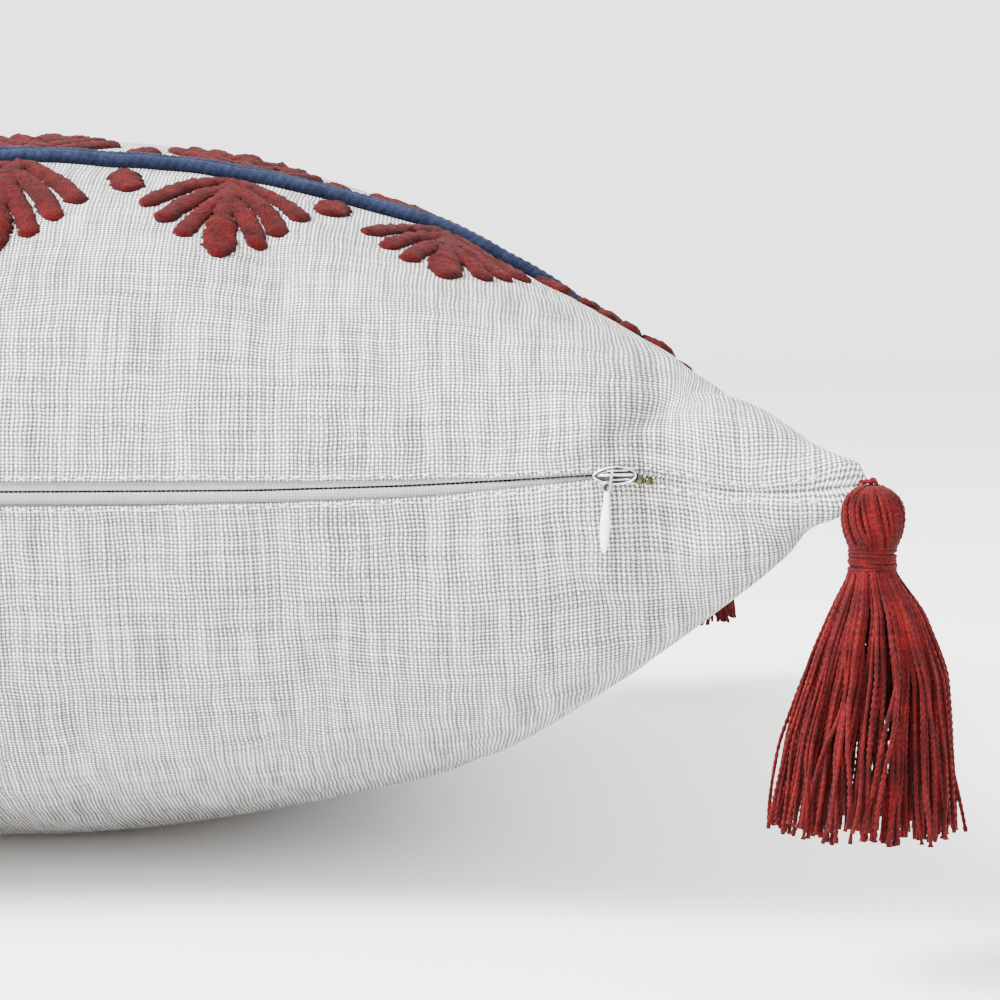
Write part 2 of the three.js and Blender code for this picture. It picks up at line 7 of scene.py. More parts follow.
import bpy
import numpy as np
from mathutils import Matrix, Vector


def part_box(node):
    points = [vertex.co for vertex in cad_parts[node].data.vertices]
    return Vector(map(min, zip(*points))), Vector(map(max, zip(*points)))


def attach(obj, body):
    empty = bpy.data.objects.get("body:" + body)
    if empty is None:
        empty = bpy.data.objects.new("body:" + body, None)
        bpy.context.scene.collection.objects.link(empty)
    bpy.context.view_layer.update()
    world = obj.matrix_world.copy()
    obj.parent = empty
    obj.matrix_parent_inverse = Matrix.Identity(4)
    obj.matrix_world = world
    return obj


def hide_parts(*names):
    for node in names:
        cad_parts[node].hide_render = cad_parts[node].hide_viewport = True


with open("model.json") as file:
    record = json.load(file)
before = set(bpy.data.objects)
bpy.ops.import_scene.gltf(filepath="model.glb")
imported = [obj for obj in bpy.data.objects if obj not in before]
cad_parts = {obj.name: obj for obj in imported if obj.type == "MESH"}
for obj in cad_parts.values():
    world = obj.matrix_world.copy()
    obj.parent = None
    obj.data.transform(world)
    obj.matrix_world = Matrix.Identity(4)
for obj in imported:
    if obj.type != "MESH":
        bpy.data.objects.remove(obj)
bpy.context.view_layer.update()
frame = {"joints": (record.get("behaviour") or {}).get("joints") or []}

MM = 0.001
TURN = 2 * math.pi

# ---- Driving sizes, from the frame where it holds them
cover_high = np.array(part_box("front_panel")[1]) / MM
HALF = cover_high[0]  # centre to corner, on both sides
CROWN = cover_high[2]
SIDE_BOW = 44.0  # how far the middle of a side pulls in
CORNER_LIFT = 5.5
SEAM_Z = 122.5
BACK_SAG = 3.0  # how far the back would bulge past the rest plane
BULGE_POWER = 1.92
BULGE_ROUND = 0.422
CORNER_THIN = 0.08
CORNER_THIN_POWER = 5
ARC_RADIUS = (HALF**2 + SIDE_BOW**2) / (2 * SIDE_BOW)
CLOTH_HALF = 247.0  # centre to seam, measured over the front
THREAD_PITCH = 1.15  # of the linen weave

# ---- Cloth grid and simulation
GRID = 110
SIM_FRAMES = 14
SIM_PRESSURE = 22.0
SIM_SLACK = -0.03  # negative shrinkage, so the cloth is a little too large
WRINKLE_CAP = 5.0  # the tallest that a simulated wrinkle can be
BLUR_CELLS = 9  # waves longer than this many cells are left out

# ---- Zipper edge
SLIDER_X = 180.0
ZIP_END_X = 187.0
ZIP_CLOSE = 8.0  # length over which the slit ends

# ---- Embroidery, in cloth millimetres
MOTIF_PITCH = 64.5
MOTIF_SHIFT = 7.5  # from the middle of the side to a fan
BAND_REACH = 104.5  # from the middle of the front to a band
ROPE_RADIUS = 2.0
ROPE_PITCH = 4.3
ROPE_END = 0.985  # share of the half width where a rope tucks into the seam
CORNERS = {"near_right": (1, -1), "near_left": (-1, -1), "far_right": (1, 1), "far_left": (-1, 1)}


# ---- The stuffed shape
def bow_inset(along):
    """How far a side pulls in from the straight line between its corners."""
    return np.sqrt(ARC_RADIUS**2 - along**2) - (ARC_RADIUS - SIDE_BOW)


def corner_share(along):
    """0 in the middle of a side, 1 at its corners."""
    return 1 - bow_inset(along) / SIDE_BOW


def dome(u, v, side):
    """The cover's surface; u and v run from -1 to 1, side is 1 for the front."""
    x = u * (HALF - bow_inset(v * HALF))
    y = v * (HALF - bow_inset(u * HALF))
    round_off = np.maximum((1 - np.abs(u) ** BULGE_POWER) * (1 - np.abs(v) ** BULGE_POWER), 0)
    bulge = round_off**BULGE_ROUND * (1 - CORNER_THIN * np.abs(u * v) ** CORNER_THIN_POWER)
    reach = CROWN - SEAM_Z if side > 0 else SEAM_Z + BACK_SAG
    lift = CORNER_LIFT * corner_share(u * HALF) * corner_share(v * HALF)
    z = np.maximum(SEAM_Z + side * reach * bulge + lift, 0)
    return np.stack([x, y, z], -1)


def even_line(points, values):
    """The values again, at places that are evenly spaced along the line of points."""
    step = np.linalg.norm(np.diff(points, axis=0), axis=1)
    along = np.concatenate([[0], np.cumsum(step)])
    at = np.linspace(0, along[-1], len(points))
    return np.stack([np.interp(at, along, values[:, k]) for k in range(values.shape[1])], -1)


def cloth_grid(side, sweeps=8):
    """Points of the dome where evenly spaced threads of the cloth cross."""
    line = np.sin(np.linspace(-1, 1, GRID + 1) * math.pi / 2)
    uv = np.stack(np.meshgrid(line, line, indexing="ij"), -1)
    for _ in range(sweeps):
        for j in range(GRID + 1):
            uv[:, j] = even_line(dome(uv[:, j, 0], uv[:, j, 1], side), uv[:, j])
        for i in range(GRID + 1):
            uv[i] = even_line(dome(uv[i, :, 0], uv[i, :, 1], side), uv[i])
    return dome(uv[..., 0], uv[..., 1], side)


def blurred(field, cells):
    """The field without its short waves."""
    for axis in (0, 0, 1, 1):
        around = [(cells, cells) if k == axis else (0, 0) for k in range(3)]
        padded = np.pad(field, around, "reflect", reflect_type="odd")
        field = np.lib.stride_tricks.sliding_window_view(padded, 2 * cells + 1, axis).mean(-1)
    return field


def grid_quads(index):
    """Four-sided faces between the points of a grid, given by their numbers."""
    return np.stack([index[:-1, :-1], index[1:, :-1], index[1:, 1:], index[:-1, 1:]], -1).reshape(-1, 4)


def added(name, data):
    """A new object in the scene."""
    obj = bpy.data.objects.new(name, data)
    bpy.context.scene.collection.objects.link(obj)
    return obj


def inflated(front, back):
    """Blender's cloth, sewn shut at the seam and blown up with some slack, for its wrinkles."""
    n = GRID + 1
    index = np.arange(2 * n * n).reshape(2, n, n)
    index[1, [0, -1], :] = index[0, [0, -1], :]
    index[1, :, [0, -1]] = index[0, :, [0, -1]]
    faces = np.concatenate([grid_quads(index[0]), grid_quads(index[1])[:, ::-1]])
    used, packed = np.unique(faces, return_inverse=True)
    points = np.concatenate([front.reshape(-1, 3), back.reshape(-1, 3)])[used] * MM
    mesh = bpy.data.meshes.new("sim")
    mesh.from_pydata(points.tolist(), [], packed.reshape(-1, 4).tolist())
    obj = added("sim", mesh)
    seam = np.unique(np.concatenate([index[0, 0], index[0, -1], index[0, :, 0], index[0, :, -1]]))
    group = obj.vertex_groups.new(name="pin")
    group.add(np.searchsorted(used, seam).tolist(), 1.0, "REPLACE")
    cloth = obj.modifiers.new("Cloth", "CLOTH")
    settings = cloth.settings
    settings.vertex_group_mass = "pin"
    settings.quality = 8
    settings.mass = 0.3
    settings.tension_stiffness = settings.compression_stiffness = 80
    settings.shear_stiffness = 20
    settings.bending_stiffness = 1
    settings.tension_damping = settings.compression_damping = settings.shear_damping = 20
    settings.air_damping = 4
    settings.use_pressure = True
    settings.uniform_pressure_force = SIM_PRESSURE
    settings.shrink_min = SIM_SLACK
    settings.effector_weights.gravity = 0
    cloth.collision_settings.use_collision = False
    cloth.point_cache.frame_start = 1
    cloth.point_cache.frame_end = SIM_FRAMES
    scene = bpy.context.scene
    for step in range(1, SIM_FRAMES + 1):
        scene.frame_set(step)
    shown = obj.evaluated_get(bpy.context.evaluated_depsgraph_get()).data
    moved = np.empty(len(used) * 3)
    shown.vertices.foreach_get("co", moved)
    scene.frame_set(1)
    bpy.data.objects.remove(obj)
    bpy.data.meshes.remove(mesh)
    whole = np.zeros((2 * n * n, 3))
    whole[used] = moved.reshape(-1, 3) / MM
    whole = whole[index.reshape(-1)].reshape(2, n, n, 3)
    return whole[0], whole[1]


def with_wrinkles(rest, simulated):
    """The dome with the short waves of the simulated cloth."""
    change = simulated - rest
    waves = change - blurred(change, BLUR_CELLS)
    length = np.linalg.norm(waves, axis=-1, keepdims=True)
    waves *= WRINKLE_CAP * np.tanh(length / WRINKLE_CAP) / np.maximum(length, 1e-9)
    moved = rest + waves
    moved[..., 2] = np.maximum(moved[..., 2], 0)
    return moved


front_rest, back_rest = cloth_grid(1), cloth_grid(-1)
sim_front, sim_back = inflated(front_rest, back_rest)
front_grid = with_wrinkles(front_rest, sim_front)
back_grid = with_wrinkles(back_rest, sim_back)


# ---- A smooth surface through the cloth grid
def spline_weights(t):
    """The shares of four neighbouring points, t of the way from the second to the third."""
    return np.stack([(1 - t) ** 3, 3 * t**3 - 6 * t**2 + 4, -3 * t**3 + 3 * t**2 + 3 * t + 1, t**3], -1) / 6


def on_grid(grid, a, b):
    """The cubic B-spline surface over the grid; a and b run from -1 to 1."""
    wide = np.concatenate([2 * grid[:1] - grid[1:2], grid, 2 * grid[-1:] - grid[-2:-1]])
    wide = np.concatenate([2 * wide[:, :1] - wide[:, 1:2], wide, 2 * wide[:, -1:] - wide[:, -2:-1]], 1)
    s = np.clip((np.asarray(a) + 1) / 2, 0, 1) * GRID
    t = np.clip((np.asarray(b) + 1) / 2, 0, 1) * GRID
    i = np.minimum(s.astype(int), GRID - 1)
    j = np.minimum(t.astype(int), GRID - 1)
    ws, wt = spline_weights(s - i), spline_weights(t - j)
    total = np.zeros(np.broadcast(s, t).shape + (3,))
    for k in range(4):
        for m in range(4):
            total += (ws[..., k] * wt[..., m])[..., None] * wide[i + k, j + m]
    return total


def unit(vectors):
    return vectors / np.maximum(np.linalg.norm(vectors, axis=-1, keepdims=True), 1e-12)


def cloth_at(across, along):
    """Points and normals of the front at cloth millimetres from its middle."""
    a, b = np.asarray(across) / CLOTH_HALF, np.asarray(along) / CLOTH_HALF
    step = 0.004
    point = cover_surface(a, b, 1)
    by_a = cover_surface(a + step, b, 1) - cover_surface(a - step, b, 1)
    by_b = cover_surface(a, b + step, 1) - cover_surface(a, b - step, 1)
    return point, unit(np.cross(by_a, by_b))


# ---- Sewn details of the cover
CREASES = [
    # place along the near seam, start above it, lean, half width, length, depth
    (190.0, 1.0, 0.10, 7.5, 78.0, 12.0),
    (173.0, 4.0, 0.10, 8.0, 60.0, -2.6),
    (212.0, 3.0, -0.20, 9.0, 50.0, -2.0),
    (-199.0, 4.0, 0.10, 8.0, 55.0, 4.0),
    (139.0, 1.0, 0.05, 9.0, 90.0, 1.5),
    (92.0, 1.0, -0.05, 10.0, 95.0, 1.7),
    (52.0, 1.0, 0.05, 9.0, 80.0, 1.2),
    (8.0, 1.0, -0.05, 9.0, 90.0, 1.5),
    (-45.0, 1.0, 0.05, 10.0, 90.0, 1.4),
    (-105.0, 1.0, -0.05, 9.0, 80.0, 1.5),
]
PUCKER = 0.45
HEM = 5.0  # from the seam to the middle of the puckered strip
LIP_REACH = 14.0  # how far the opened zipper's lip fades into the panel
GROOVE = 1.5  # depth of the plain seam's groove
GROOVE_WIDTH = 1.6
ZIP_GROOVE = 0.4  # depth of the groove where the zipper is
ZIP_GROOVE_WIDTH = 0.9
TUCK = 1.4  # how far the panel's edge turns in at the seam
ZIP_TUCK = 0.9
# The stuffing sinks towards the corners: distance from the middle, then how far each panel drops.
SAG_AT = [60, 80, 100, 117, 133, 148, 157, 172, 190, 205, 219, 232]
SAG_FRONT = [0, 1.5, 2.6, 3.9, 4.5, 7.2, 7.8, 7.0, 6.6, 6.2, 5.6, 0]
SAG_BACK = [0, 0, 1.0, 2.0, 4.2, 6.8, 7.6, 6.0, 5.2, 4.4, 3.0, 0]
# The zipper edge rises at the slider and dips past it.
SEAM_AT = [85, 125, 152, 176, 187, 197, 205, 218, 230, 239]
SEAM_RISE = [0, 0.8, 1.9, 3.0, 2.2, 0.0, -1.8, -2.6, -1.8, -0.9]
SEAM_FADE = 34.0
NOSE_REACH = 13.0  # how far the blunt nose of a corner runs back
NOSE_SWELL = 4.4
NOSE_PUSH = 3.9


def smooth_table(x, at, values):
    """The table's value at x, with its corners rounded off."""
    return sum(np.interp(np.abs(x) + d, at, values) for d in (-6, -3, 0, 3, 6)) / 5


def rounded_profile(t, at, values):
    """The same for a profile from 0 to 1."""
    return sum(np.interp(np.clip(t + d, 0, 1), at, values) for d in (-0.04, -0.02, 0, 0.02, 0.04)) / 5


def hump(distance, width):
    """1 at no distance, falling off smoothly over the width."""
    return np.exp(-((distance / width) ** 2))


def zip_share(x):
    """1 along the zipper, 0 on the plain seam past its ends."""
    return np.clip((ZIP_END_X - np.abs(x)) / ZIP_CLOSE, 0, 1)


def lip_gap(x, side):
    """Slit to the folded edge of the cover, along the zipper."""
    if side > 0:
        return np.interp(np.abs(x), [74, 130, 150, SLIDER_X, ZIP_END_X], [2.7, 1.5, 0.7, 0.5, 0.0])
    return np.interp(np.abs(x), [48, 74, 130, 172, ZIP_END_X], [3.9, 3.5, 3.1, 1.0, 0.0])


def sewn(points, a, b, side, tuck):
    """Adds the sag, the seam's groove, the zipper's lips, puckers and creases to a panel."""
    x, y = points[..., 0], points[..., 1]
    moved = points.copy()
    from_side = CLOTH_HALF * (1 - np.abs(a))
    from_end = CLOTH_HALF * (1 - np.abs(b))
    bend_x = np.clip(x / ARC_RADIUS, -1, 1)
    bend_y = np.clip(y / ARC_RADIUS, -1, 1)
    in_y = np.stack([bend_x, -np.sign(b) * np.sqrt(1 - bend_x**2), 0 * x], -1)
    in_x = np.stack([-np.sign(a) * np.sqrt(1 - bend_y**2), bend_y, 0 * x], -1)
    nose = hump(np.hypot(from_side, from_end), NOSE_REACH)
    near = (b < 0) * zip_share(x)
    plain = (GROOVE * hump(from_end, GROOVE_WIDTH) + TUCK * (tuck & (from_end < 0.01))) * (1 - nose)
    zipped = ZIP_GROOVE * hump(from_end, ZIP_GROOVE_WIDTH) + ZIP_TUCK * (tuck & (from_end < 0.01))
    moved += in_y * (near * zipped + (1 - near) * plain)[..., None]
    plain_side = (GROOVE * hump(from_side, GROOVE_WIDTH) + TUCK * (tuck & (from_side < 0.01))) * (1 - nose)
    moved += in_x * plain_side[..., None]
    lip = (b < 0) * lip_gap(x, side) * np.exp(-from_end / LIP_REACH)
    moved[..., 2] += side * lip
    wave = np.sin(x / 3.1) * np.sin(x / 7.7 + 1.3) + 0.6 * np.sin(x / 1.9 + 0.4)
    wave_side = np.sin(y / 3.4 + 0.6) * np.sin(y / 8.1) + 0.6 * np.sin(y / 2.1)
    edge = hump(from_end - HEM, HEM) * wave * (1 - 0.6 * near)
    edge_side = hump(from_side - HEM, HEM) * wave_side
    moved += PUCKER * (in_y * edge[..., None] + in_x * edge_side[..., None])
    dent = np.zeros_like(x)
    for at, start, lean, width, length, depth in CREASES:
        off = a * CLOTH_HALF - at - lean * from_end
        up = np.clip((from_end - start) / length, 0, 1)
        fade = np.sin(math.pi * np.minimum(up * 0.9 + 0.1, 1)) * (from_end > 0)
        dent += depth * hump(off, width) * fade * (b < 0) * (1 if side > 0 else 0.5)
    moved += in_y * dent[..., None]
    middle = (1 - np.abs(a) ** 6) * (1 - np.abs(b) ** 3)
    moved[..., 2] -= middle * smooth_table(x, SAG_AT, SAG_FRONT if side > 0 else SAG_BACK)
    moved[..., 2] += (b < 0) * hump(from_end, SEAM_FADE) * smooth_table(x, SEAM_AT, SEAM_RISE)
    plump = nose * np.clip(np.minimum(from_side, from_end) / 3.5, 0, 1) ** 0.6
    outward = np.stack([np.sign(a), np.sign(b), 0 * x], -1) * math.sqrt(0.5)
    moved[..., 2] += side * NOSE_SWELL * plump * (1 if side > 0 else 0.6)
    moved += outward * (NOSE_PUSH * plump)[..., None]
    moved[..., 2] = np.maximum(moved[..., 2], 0)
    return moved


def cover_surface(a, b, side):
    """The sewn front or back panel, with no edge tucked in."""
    grid = front_grid if side > 0 else back_grid
    return sewn(on_grid(grid, a, b), a, b, side, np.zeros(np.shape(a), bool))


# ---- Meshes
def mesh_object(name, points, faces, uv, surface):
    """A smooth mesh from points in millimetres, with its map and its material."""
    mesh = bpy.data.meshes.new(name)
    mesh.from_pydata((points * MM).tolist(), [], faces)
    layer = mesh.uv_layers.new(name="cloth")
    corner = np.empty(len(mesh.loops), int)
    mesh.loops.foreach_get("vertex_index", corner)
    layer.data.foreach_set("uv", uv[corner].reshape(-1))
    mesh.polygons.foreach_set("use_smooth", [True] * len(mesh.polygons))
    mesh.materials.append(surface)
    return added(name, mesh)


def tube_faces(count, rings, sides):
    """The faces round and across the ends of closed tubes."""
    index = np.arange(count * rings * sides).reshape(count, rings, sides)
    after = np.roll(index, -1, 2)
    quads = np.stack([index[:, :-1], after[:, :-1], after[:, 1:], index[:, 1:]], -1).reshape(-1, 4)
    return quads.tolist() + index[:, 0, ::-1].tolist() + index[:, -1].tolist()


def tubes(paths, ups, wide, high=None, sides=8, lobes=0, depth=0.0, pitch=1.0, phase=0.0, rough=0.0, seed=1):
    """Closed tubes along paths (tube, ring, xyz): their points, faces and a map in millimetres."""
    count, rings, _ = paths.shape
    high = wide if high is None else high
    along = unit(np.gradient(paths, axis=1))
    across = unit(np.cross(along, ups))
    upright = np.cross(across, along)
    step = np.linalg.norm(np.diff(paths, axis=1), axis=-1)
    length = np.concatenate([np.zeros((count, 1)), np.cumsum(step, 1)], 1)
    angle = TURN * np.arange(sides) / sides
    turned = angle[None, None] - (TURN * length / pitch + np.reshape(phase, (-1, 1)))[..., None]
    shape = 1 + depth * np.cos(lobes * turned)
    if rough:
        shape = shape + rough * np.random.default_rng(seed).standard_normal(shape.shape)
    wide = np.broadcast_to(wide, (count, rings))[..., None]
    high = np.broadcast_to(high, (count, rings))[..., None]
    points = paths[:, :, None] + (
        (wide * shape * np.cos(angle))[..., None] * across[:, :, None]
        + (high * shape * np.sin(angle))[..., None] * upright[:, :, None])
    around = np.broadcast_to(angle * wide, (count, rings, sides))
    uv = np.stack([around, np.broadcast_to(length[..., None], around.shape)], -1)
    return points.reshape(-1, 3), tube_faces(count, rings, sides), uv.reshape(-1, 2)


def one_tube(path, up, wide, high=None, **shape):
    """A single tube; up and the radii can be the same all along."""
    wide = np.broadcast_to(wide, len(path))[None]
    high = None if high is None else np.broadcast_to(high, len(path))[None]
    return tubes(path[None], np.broadcast_to(up, path.shape)[None], wide, high, **shape)


def ring_tube(path, up, wide, high=None, **shape):
    """A tube along a closed path, whose first two points come again at its end."""
    return one_tube(np.concatenate([path, path[:2]]), up, wide, high, **shape)


def joined(parts):
    """The points, faces and maps of several parts as one."""
    points, faces, uvs, first = [], [], [], 0
    for part_points, part_faces, part_uv in parts:
        points.append(part_points)
        faces += [[k + first for k in face] for face in part_faces]
        uvs.append(part_uv)
        first += len(part_points)
    return np.concatenate(points), faces, np.concatenate(uvs)


def piece(name, parts, surface, body, nodes=()):
    """A visual piece that rides on its body, stands for CAD nodes and takes the given material."""
    obj = mesh_object(name, *joined(parts), surface)
    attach(obj, body)
    if nodes:
        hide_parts(*nodes)
    return obj


# ---- Materials
class Graph:
    """A material's nodes, added one by one and linked by their inputs."""

    def __init__(self, name):
        self.material = bpy.data.materials.new(name)
        self.material.use_nodes = True
        self.tree = self.material.node_tree
        self.shader = self.tree.nodes["Principled BSDF"]

    def put(self, socket, value):
        """Links the value if it is another node's output, or sets it."""
        if isinstance(value, bpy.types.NodeSocket):
            self.tree.links.new(value, socket)
        elif value is not None:
            socket.default_value = value

    def node(self, kind, inputs=(), output=0, **settings):
        node = self.tree.nodes.new("ShaderNode" + kind)
        for key, value in settings.items():
            setattr(node, key, value)
        for key, value in dict(inputs).items():
            self.put(node.inputs[key], value)
        return node.outputs[output]

    def math(self, operation, first, second=None, third=None):
        return self.node("Math", {0: first, 1: second, 2: third}, operation=operation)

    def split(self, vector):
        node = self.tree.nodes.new("ShaderNodeSeparateXYZ")
        self.tree.links.new(vector, node.inputs[0])
        return node.outputs

    def join(self, x, y, z=0.0):
        return self.node("CombineXYZ", {0: x, 1: y, 2: z})

    def noise(self, vector, scale, detail=3.0, roughness=0.5):
        inputs = {"Vector": vector, "Scale": scale, "Detail": detail, "Roughness": roughness}
        return self.node("TexNoise", inputs)

    def between(self, value, low, high, to_low=0.0, to_high=1.0):
        return self.node("MapRange", {0: value, 1: low, 2: high, 3: to_low, 4: to_high})

    def ramp(self, value, stops):
        node = self.tree.nodes.new("ShaderNodeValToRGB")
        elements = node.color_ramp.elements
        while len(elements) < len(stops):
            elements.new(0.5)
        for element, (place, color) in zip(elements, stops):
            element.position = place
            element.color = (*color, 1)
        self.tree.links.new(value, node.inputs[0])
        return node.outputs[0]

    def bump(self, height, distance, strength=1.0, below=None):
        inputs = {"Height": height, "Distance": distance, "Strength": strength}
        if below is not None:
            inputs["Normal"] = below
        return self.node("Bump", inputs)

    def finish(self, **inputs):
        for key, value in inputs.items():
            self.put(self.shader.inputs[key.replace("_", " ")], value)
        return self.material


def linen():
    """Slubby plain weave: humps of warp and weft that pass over and under each other."""
    g = Graph("linen")
    uv = g.node("UVMap", uv_map="cloth")
    across, along, _ = g.split(uv)
    threads = 2 * CLOTH_HALF / THREAD_PITCH
    wander = g.noise(uv, 38.0, 2.0)
    wobble = g.math("MULTIPLY", g.math("SUBTRACT", wander, 0.5), 1.5)
    x = g.math("ADD", g.math("MULTIPLY", across, threads), wobble)
    y = g.math("ADD", g.math("MULTIPLY", along, threads), wobble)
    slub_x = g.noise(g.join(x, g.math("MULTIPLY", y, 0.045)), 0.9, 2.0)
    slub_y = g.noise(g.join(g.math("MULTIPLY", x, 0.045), y), 0.9, 2.0)

    def thread(place, other, shift, slub):
        rounded = g.math("ABSOLUTE", g.math("SINE", g.math("MULTIPLY", place, math.pi)))
        cell = g.math("ADD", g.math("FLOOR", place), shift)
        over = g.math("SINE", g.math("MULTIPLY", g.math("ADD", other, cell), math.pi))
        level = g.math("MULTIPLY_ADD", over, 0.32, 0.62)
        height = g.math("MULTIPLY", g.math("POWER", rounded, 0.7), level)
        return g.math("MULTIPLY", height, g.between(slub, 0.3, 0.7, 0.84, 1.14))

    warp = thread(x, y, 0.0, slub_x)
    weft = thread(y, x, 1.0, slub_y)
    weave = g.math("MAXIMUM", warp, g.math("MULTIPLY", weft, 0.86))
    fuzz = g.noise(g.join(x, y), 2.6, 4.0, 0.7)
    height = g.math("MULTIPLY_ADD", fuzz, 0.30, weave)
    broad = g.noise(uv, 9.0, 3.0)
    streak = g.math("ADD", g.between(slub_x, 0.3, 0.7, -0.09, 0.09), g.between(slub_y, 0.3, 0.7, -0.03, 0.03))
    # Painted shade: the colour darkens where the weave and its fuzz are low, in the gaps between the threads.
    # The slub streaks and broad patches are the cloth's own tone.
    gap_shade = g.math("ADD", g.between(weave, 0.30, 0.92, 0.0, 0.9), g.between(fuzz, 0.3, 0.7, -0.10, 0.10))
    tone = g.math("ADD", g.math("ADD", gap_shade, streak), g.between(broad, 0.3, 0.7, -0.05, 0.05))
    color = g.ramp(tone, [(0.0, (0.045, 0.044, 0.043)), (0.3, (0.20, 0.197, 0.195)),
                          (0.62, (0.56, 0.558, 0.56)), (1.0, (0.88, 0.88, 0.885))])
    normal = g.bump(height, 0.6 * MM, 1.0)
    return g.finish(Base_Color=color, Roughness=0.93, Normal=normal, Sheen_Weight=0.06, Sheen_Roughness=0.5,
                    Specular_IOR_Level=0.15)


def yarn(name, dark, middle, light, hair=2.4, lean=1.4, depth=0.16, sheen=0.25):
    """Twisted yarn: fine hairs that lean along its length, on a map in millimetres."""
    g = Graph(name)
    x, y, _ = g.split(g.node("UVMap", uv_map="cloth"))
    twisted = g.math("MULTIPLY_ADD", y, lean, x)
    hairs = g.noise(g.join(twisted, g.math("MULTIPLY", y, 0.22)), hair, 4.0, 0.65)
    position = g.node("TexCoord", output="Object")
    patches = g.noise(position, 160.0, 2.0)
    grain = g.noise(position, 1500.0, 2.0)
    tone = g.math("ADD", g.math("MULTIPLY", hairs, 0.6), g.math("MULTIPLY", patches, 0.4))
    tone = g.math("ADD", tone, g.math("MULTIPLY", g.math("SUBTRACT", grain, 0.5), 0.3))
    color = g.ramp(tone, [(0.3, dark), (0.5, middle), (0.7, light)])
    both = g.math("ADD", hairs, g.math("MULTIPLY", grain, 0.5))
    normal = g.bump(both, depth * MM, 0.9)
    return g.finish(Base_Color=color, Roughness=0.85, Normal=normal, Sheen_Weight=sheen, Sheen_Roughness=0.4,
                    Specular_IOR_Level=0.12)


def plain_weave(name, dark, light, pitch, roughness=0.85):
    """A fine rib that follows the object's own X and Z."""
    g = Graph(name)
    position = g.node("TexCoord", output="Object")
    x, _, z = g.split(position)
    rib = g.math("SINE", g.math("MULTIPLY", x, TURN / (pitch * MM)))
    row = g.math("SINE", g.math("MULTIPLY", z, TURN / (pitch * MM)))
    height = g.math("ADD", rib, g.math("MULTIPLY", row, 0.5))
    patches = g.noise(position, 300.0, 3.0)
    # Painted shade: the colour is darker where the ribs are low, in the grooves between them; the patches are
    # random tone.
    tone = g.math("ADD", g.between(height, -1.5, 1.5, 0.2, 0.6), g.math("MULTIPLY", patches, 0.4))
    color = g.ramp(tone, [(0.2, dark), (0.8, light)])
    normal = g.bump(height, 0.08 * MM, 0.7)
    return g.finish(Base_Color=color, Roughness=roughness, Normal=normal, Sheen_Weight=0.1)


def fibre():
    """Soft white tufts."""
    g = Graph("fibre")
    position = g.node("TexCoord", output="Object")
    tufts = g.noise(position, 90.0, 5.0, 0.7)
    color = g.ramp(tufts, [(0.3, (0.70, 0.70, 0.68)), (0.7, (0.93, 0.93, 0.92))])
    return g.finish(Base_Color=color, Roughness=1.0, Normal=g.bump(tufts, 2.0 * MM), Sheen_Weight=0.4)


def steel(name, dark, light):
    """Metal with fine scratches and worn patches."""
    g = Graph(name)
    position = g.node("TexCoord", output="Object")
    scratches = g.noise(g.node("Mapping", {"Vector": position, "Scale": (300, 300, 4000)}), 1.0, 3.0)
    worn = g.noise(position, 500.0, 3.0)
    rough = g.between(scratches, 0.3, 0.7, 0.22, 0.42)
    color = g.ramp(worn, [(0.3, dark), (0.7, light)])
    return g.finish(Base_Color=color, Metallic=1.0, Roughness=rough, Normal=g.bump(scratches, 0.02 * MM, 0.5))


def enamel():
    """Glossy white enamel with a slight ripple."""
    g = Graph("enamel")
    position = g.node("TexCoord", output="Object")
    ripple = g.noise(position, 350.0, 2.0)
    color = g.ramp(ripple, [(0.3, (0.80, 0.80, 0.78)), (0.7, (0.90, 0.90, 0.89))])
    return g.finish(Base_Color=color, Roughness=0.16, Normal=g.bump(ripple, 0.05 * MM, 0.6), Coat_Weight=0.6,
                    Coat_Roughness=0.06)


LINEN = linen()
CRIMSON = yarn("crimson_yarn", (0.010, 0.0002, 0.0003), (0.052, 0.0010, 0.0014), (0.135, 0.0050, 0.0055),
               sheen=0.05)
RED = yarn("red_wool", (0.012, 0.0001, 0.0002), (0.046, 0.0004, 0.0006), (0.10, 0.0016, 0.0019),
           hair=1.5, lean=0.6, depth=1.3, sheen=0.02)
NAVY = yarn("navy_rope", (0.0028, 0.0042, 0.012), (0.0085, 0.0125, 0.034), (0.022, 0.031, 0.066),
            hair=2.2, lean=1.0, depth=0.25, sheen=0.03)
THREAD = yarn("sewing_thread", (0.45, 0.45, 0.45), (0.62, 0.62, 0.62), (0.76, 0.76, 0.76),
              hair=4.0, lean=1.0, depth=0.05)
TAPE = plain_weave("zip_tape", (0.16, 0.16, 0.17), (0.32, 0.32, 0.335), 0.8, 0.6)
COIL = plain_weave("zip_coil", (0.55, 0.55, 0.55), (0.80, 0.80, 0.80), 1.2, 0.4)
CASING = plain_weave("casing_cotton", (0.78, 0.78, 0.76), (0.92, 0.92, 0.90), 0.5)
FIBRE = fibre()
STEEL = steel("steel", (0.40, 0.40, 0.41), (0.70, 0.70, 0.72))
# Near-black steel: painted shade, for the slider's dark gaps and the dark hole of the pull's eye.
SHADE_STEEL = steel("painted_shade_steel", (0.015, 0.015, 0.016), (0.05, 0.05, 0.052))
PLATED = steel("plated_steel", (0.16, 0.16, 0.165), (0.34, 0.34, 0.35))
BRASS = steel("dull_brass", (0.045, 0.045, 0.018), (0.12, 0.115, 0.055))
ENAMEL = enamel()


# ---- Cover panels
def edge_lines():
    """Places across a panel, close together at the seams; the first and last tuck in."""
    edge = [0.0, 0.0, 0.5, 1.0, 1.6, 2.4, 3.4, 4.8, 6.6]
    inner = np.linspace(edge[-1], 2 * CLOTH_HALF - edge[-1], 226)[1:-1]
    far = [2 * CLOTH_HALF - e for e in reversed(edge)]
    places = np.concatenate([edge, inner, far]) / CLOTH_HALF - 1
    tucked = np.zeros(len(places), bool)
    tucked[[0, -1]] = True
    return places, tucked


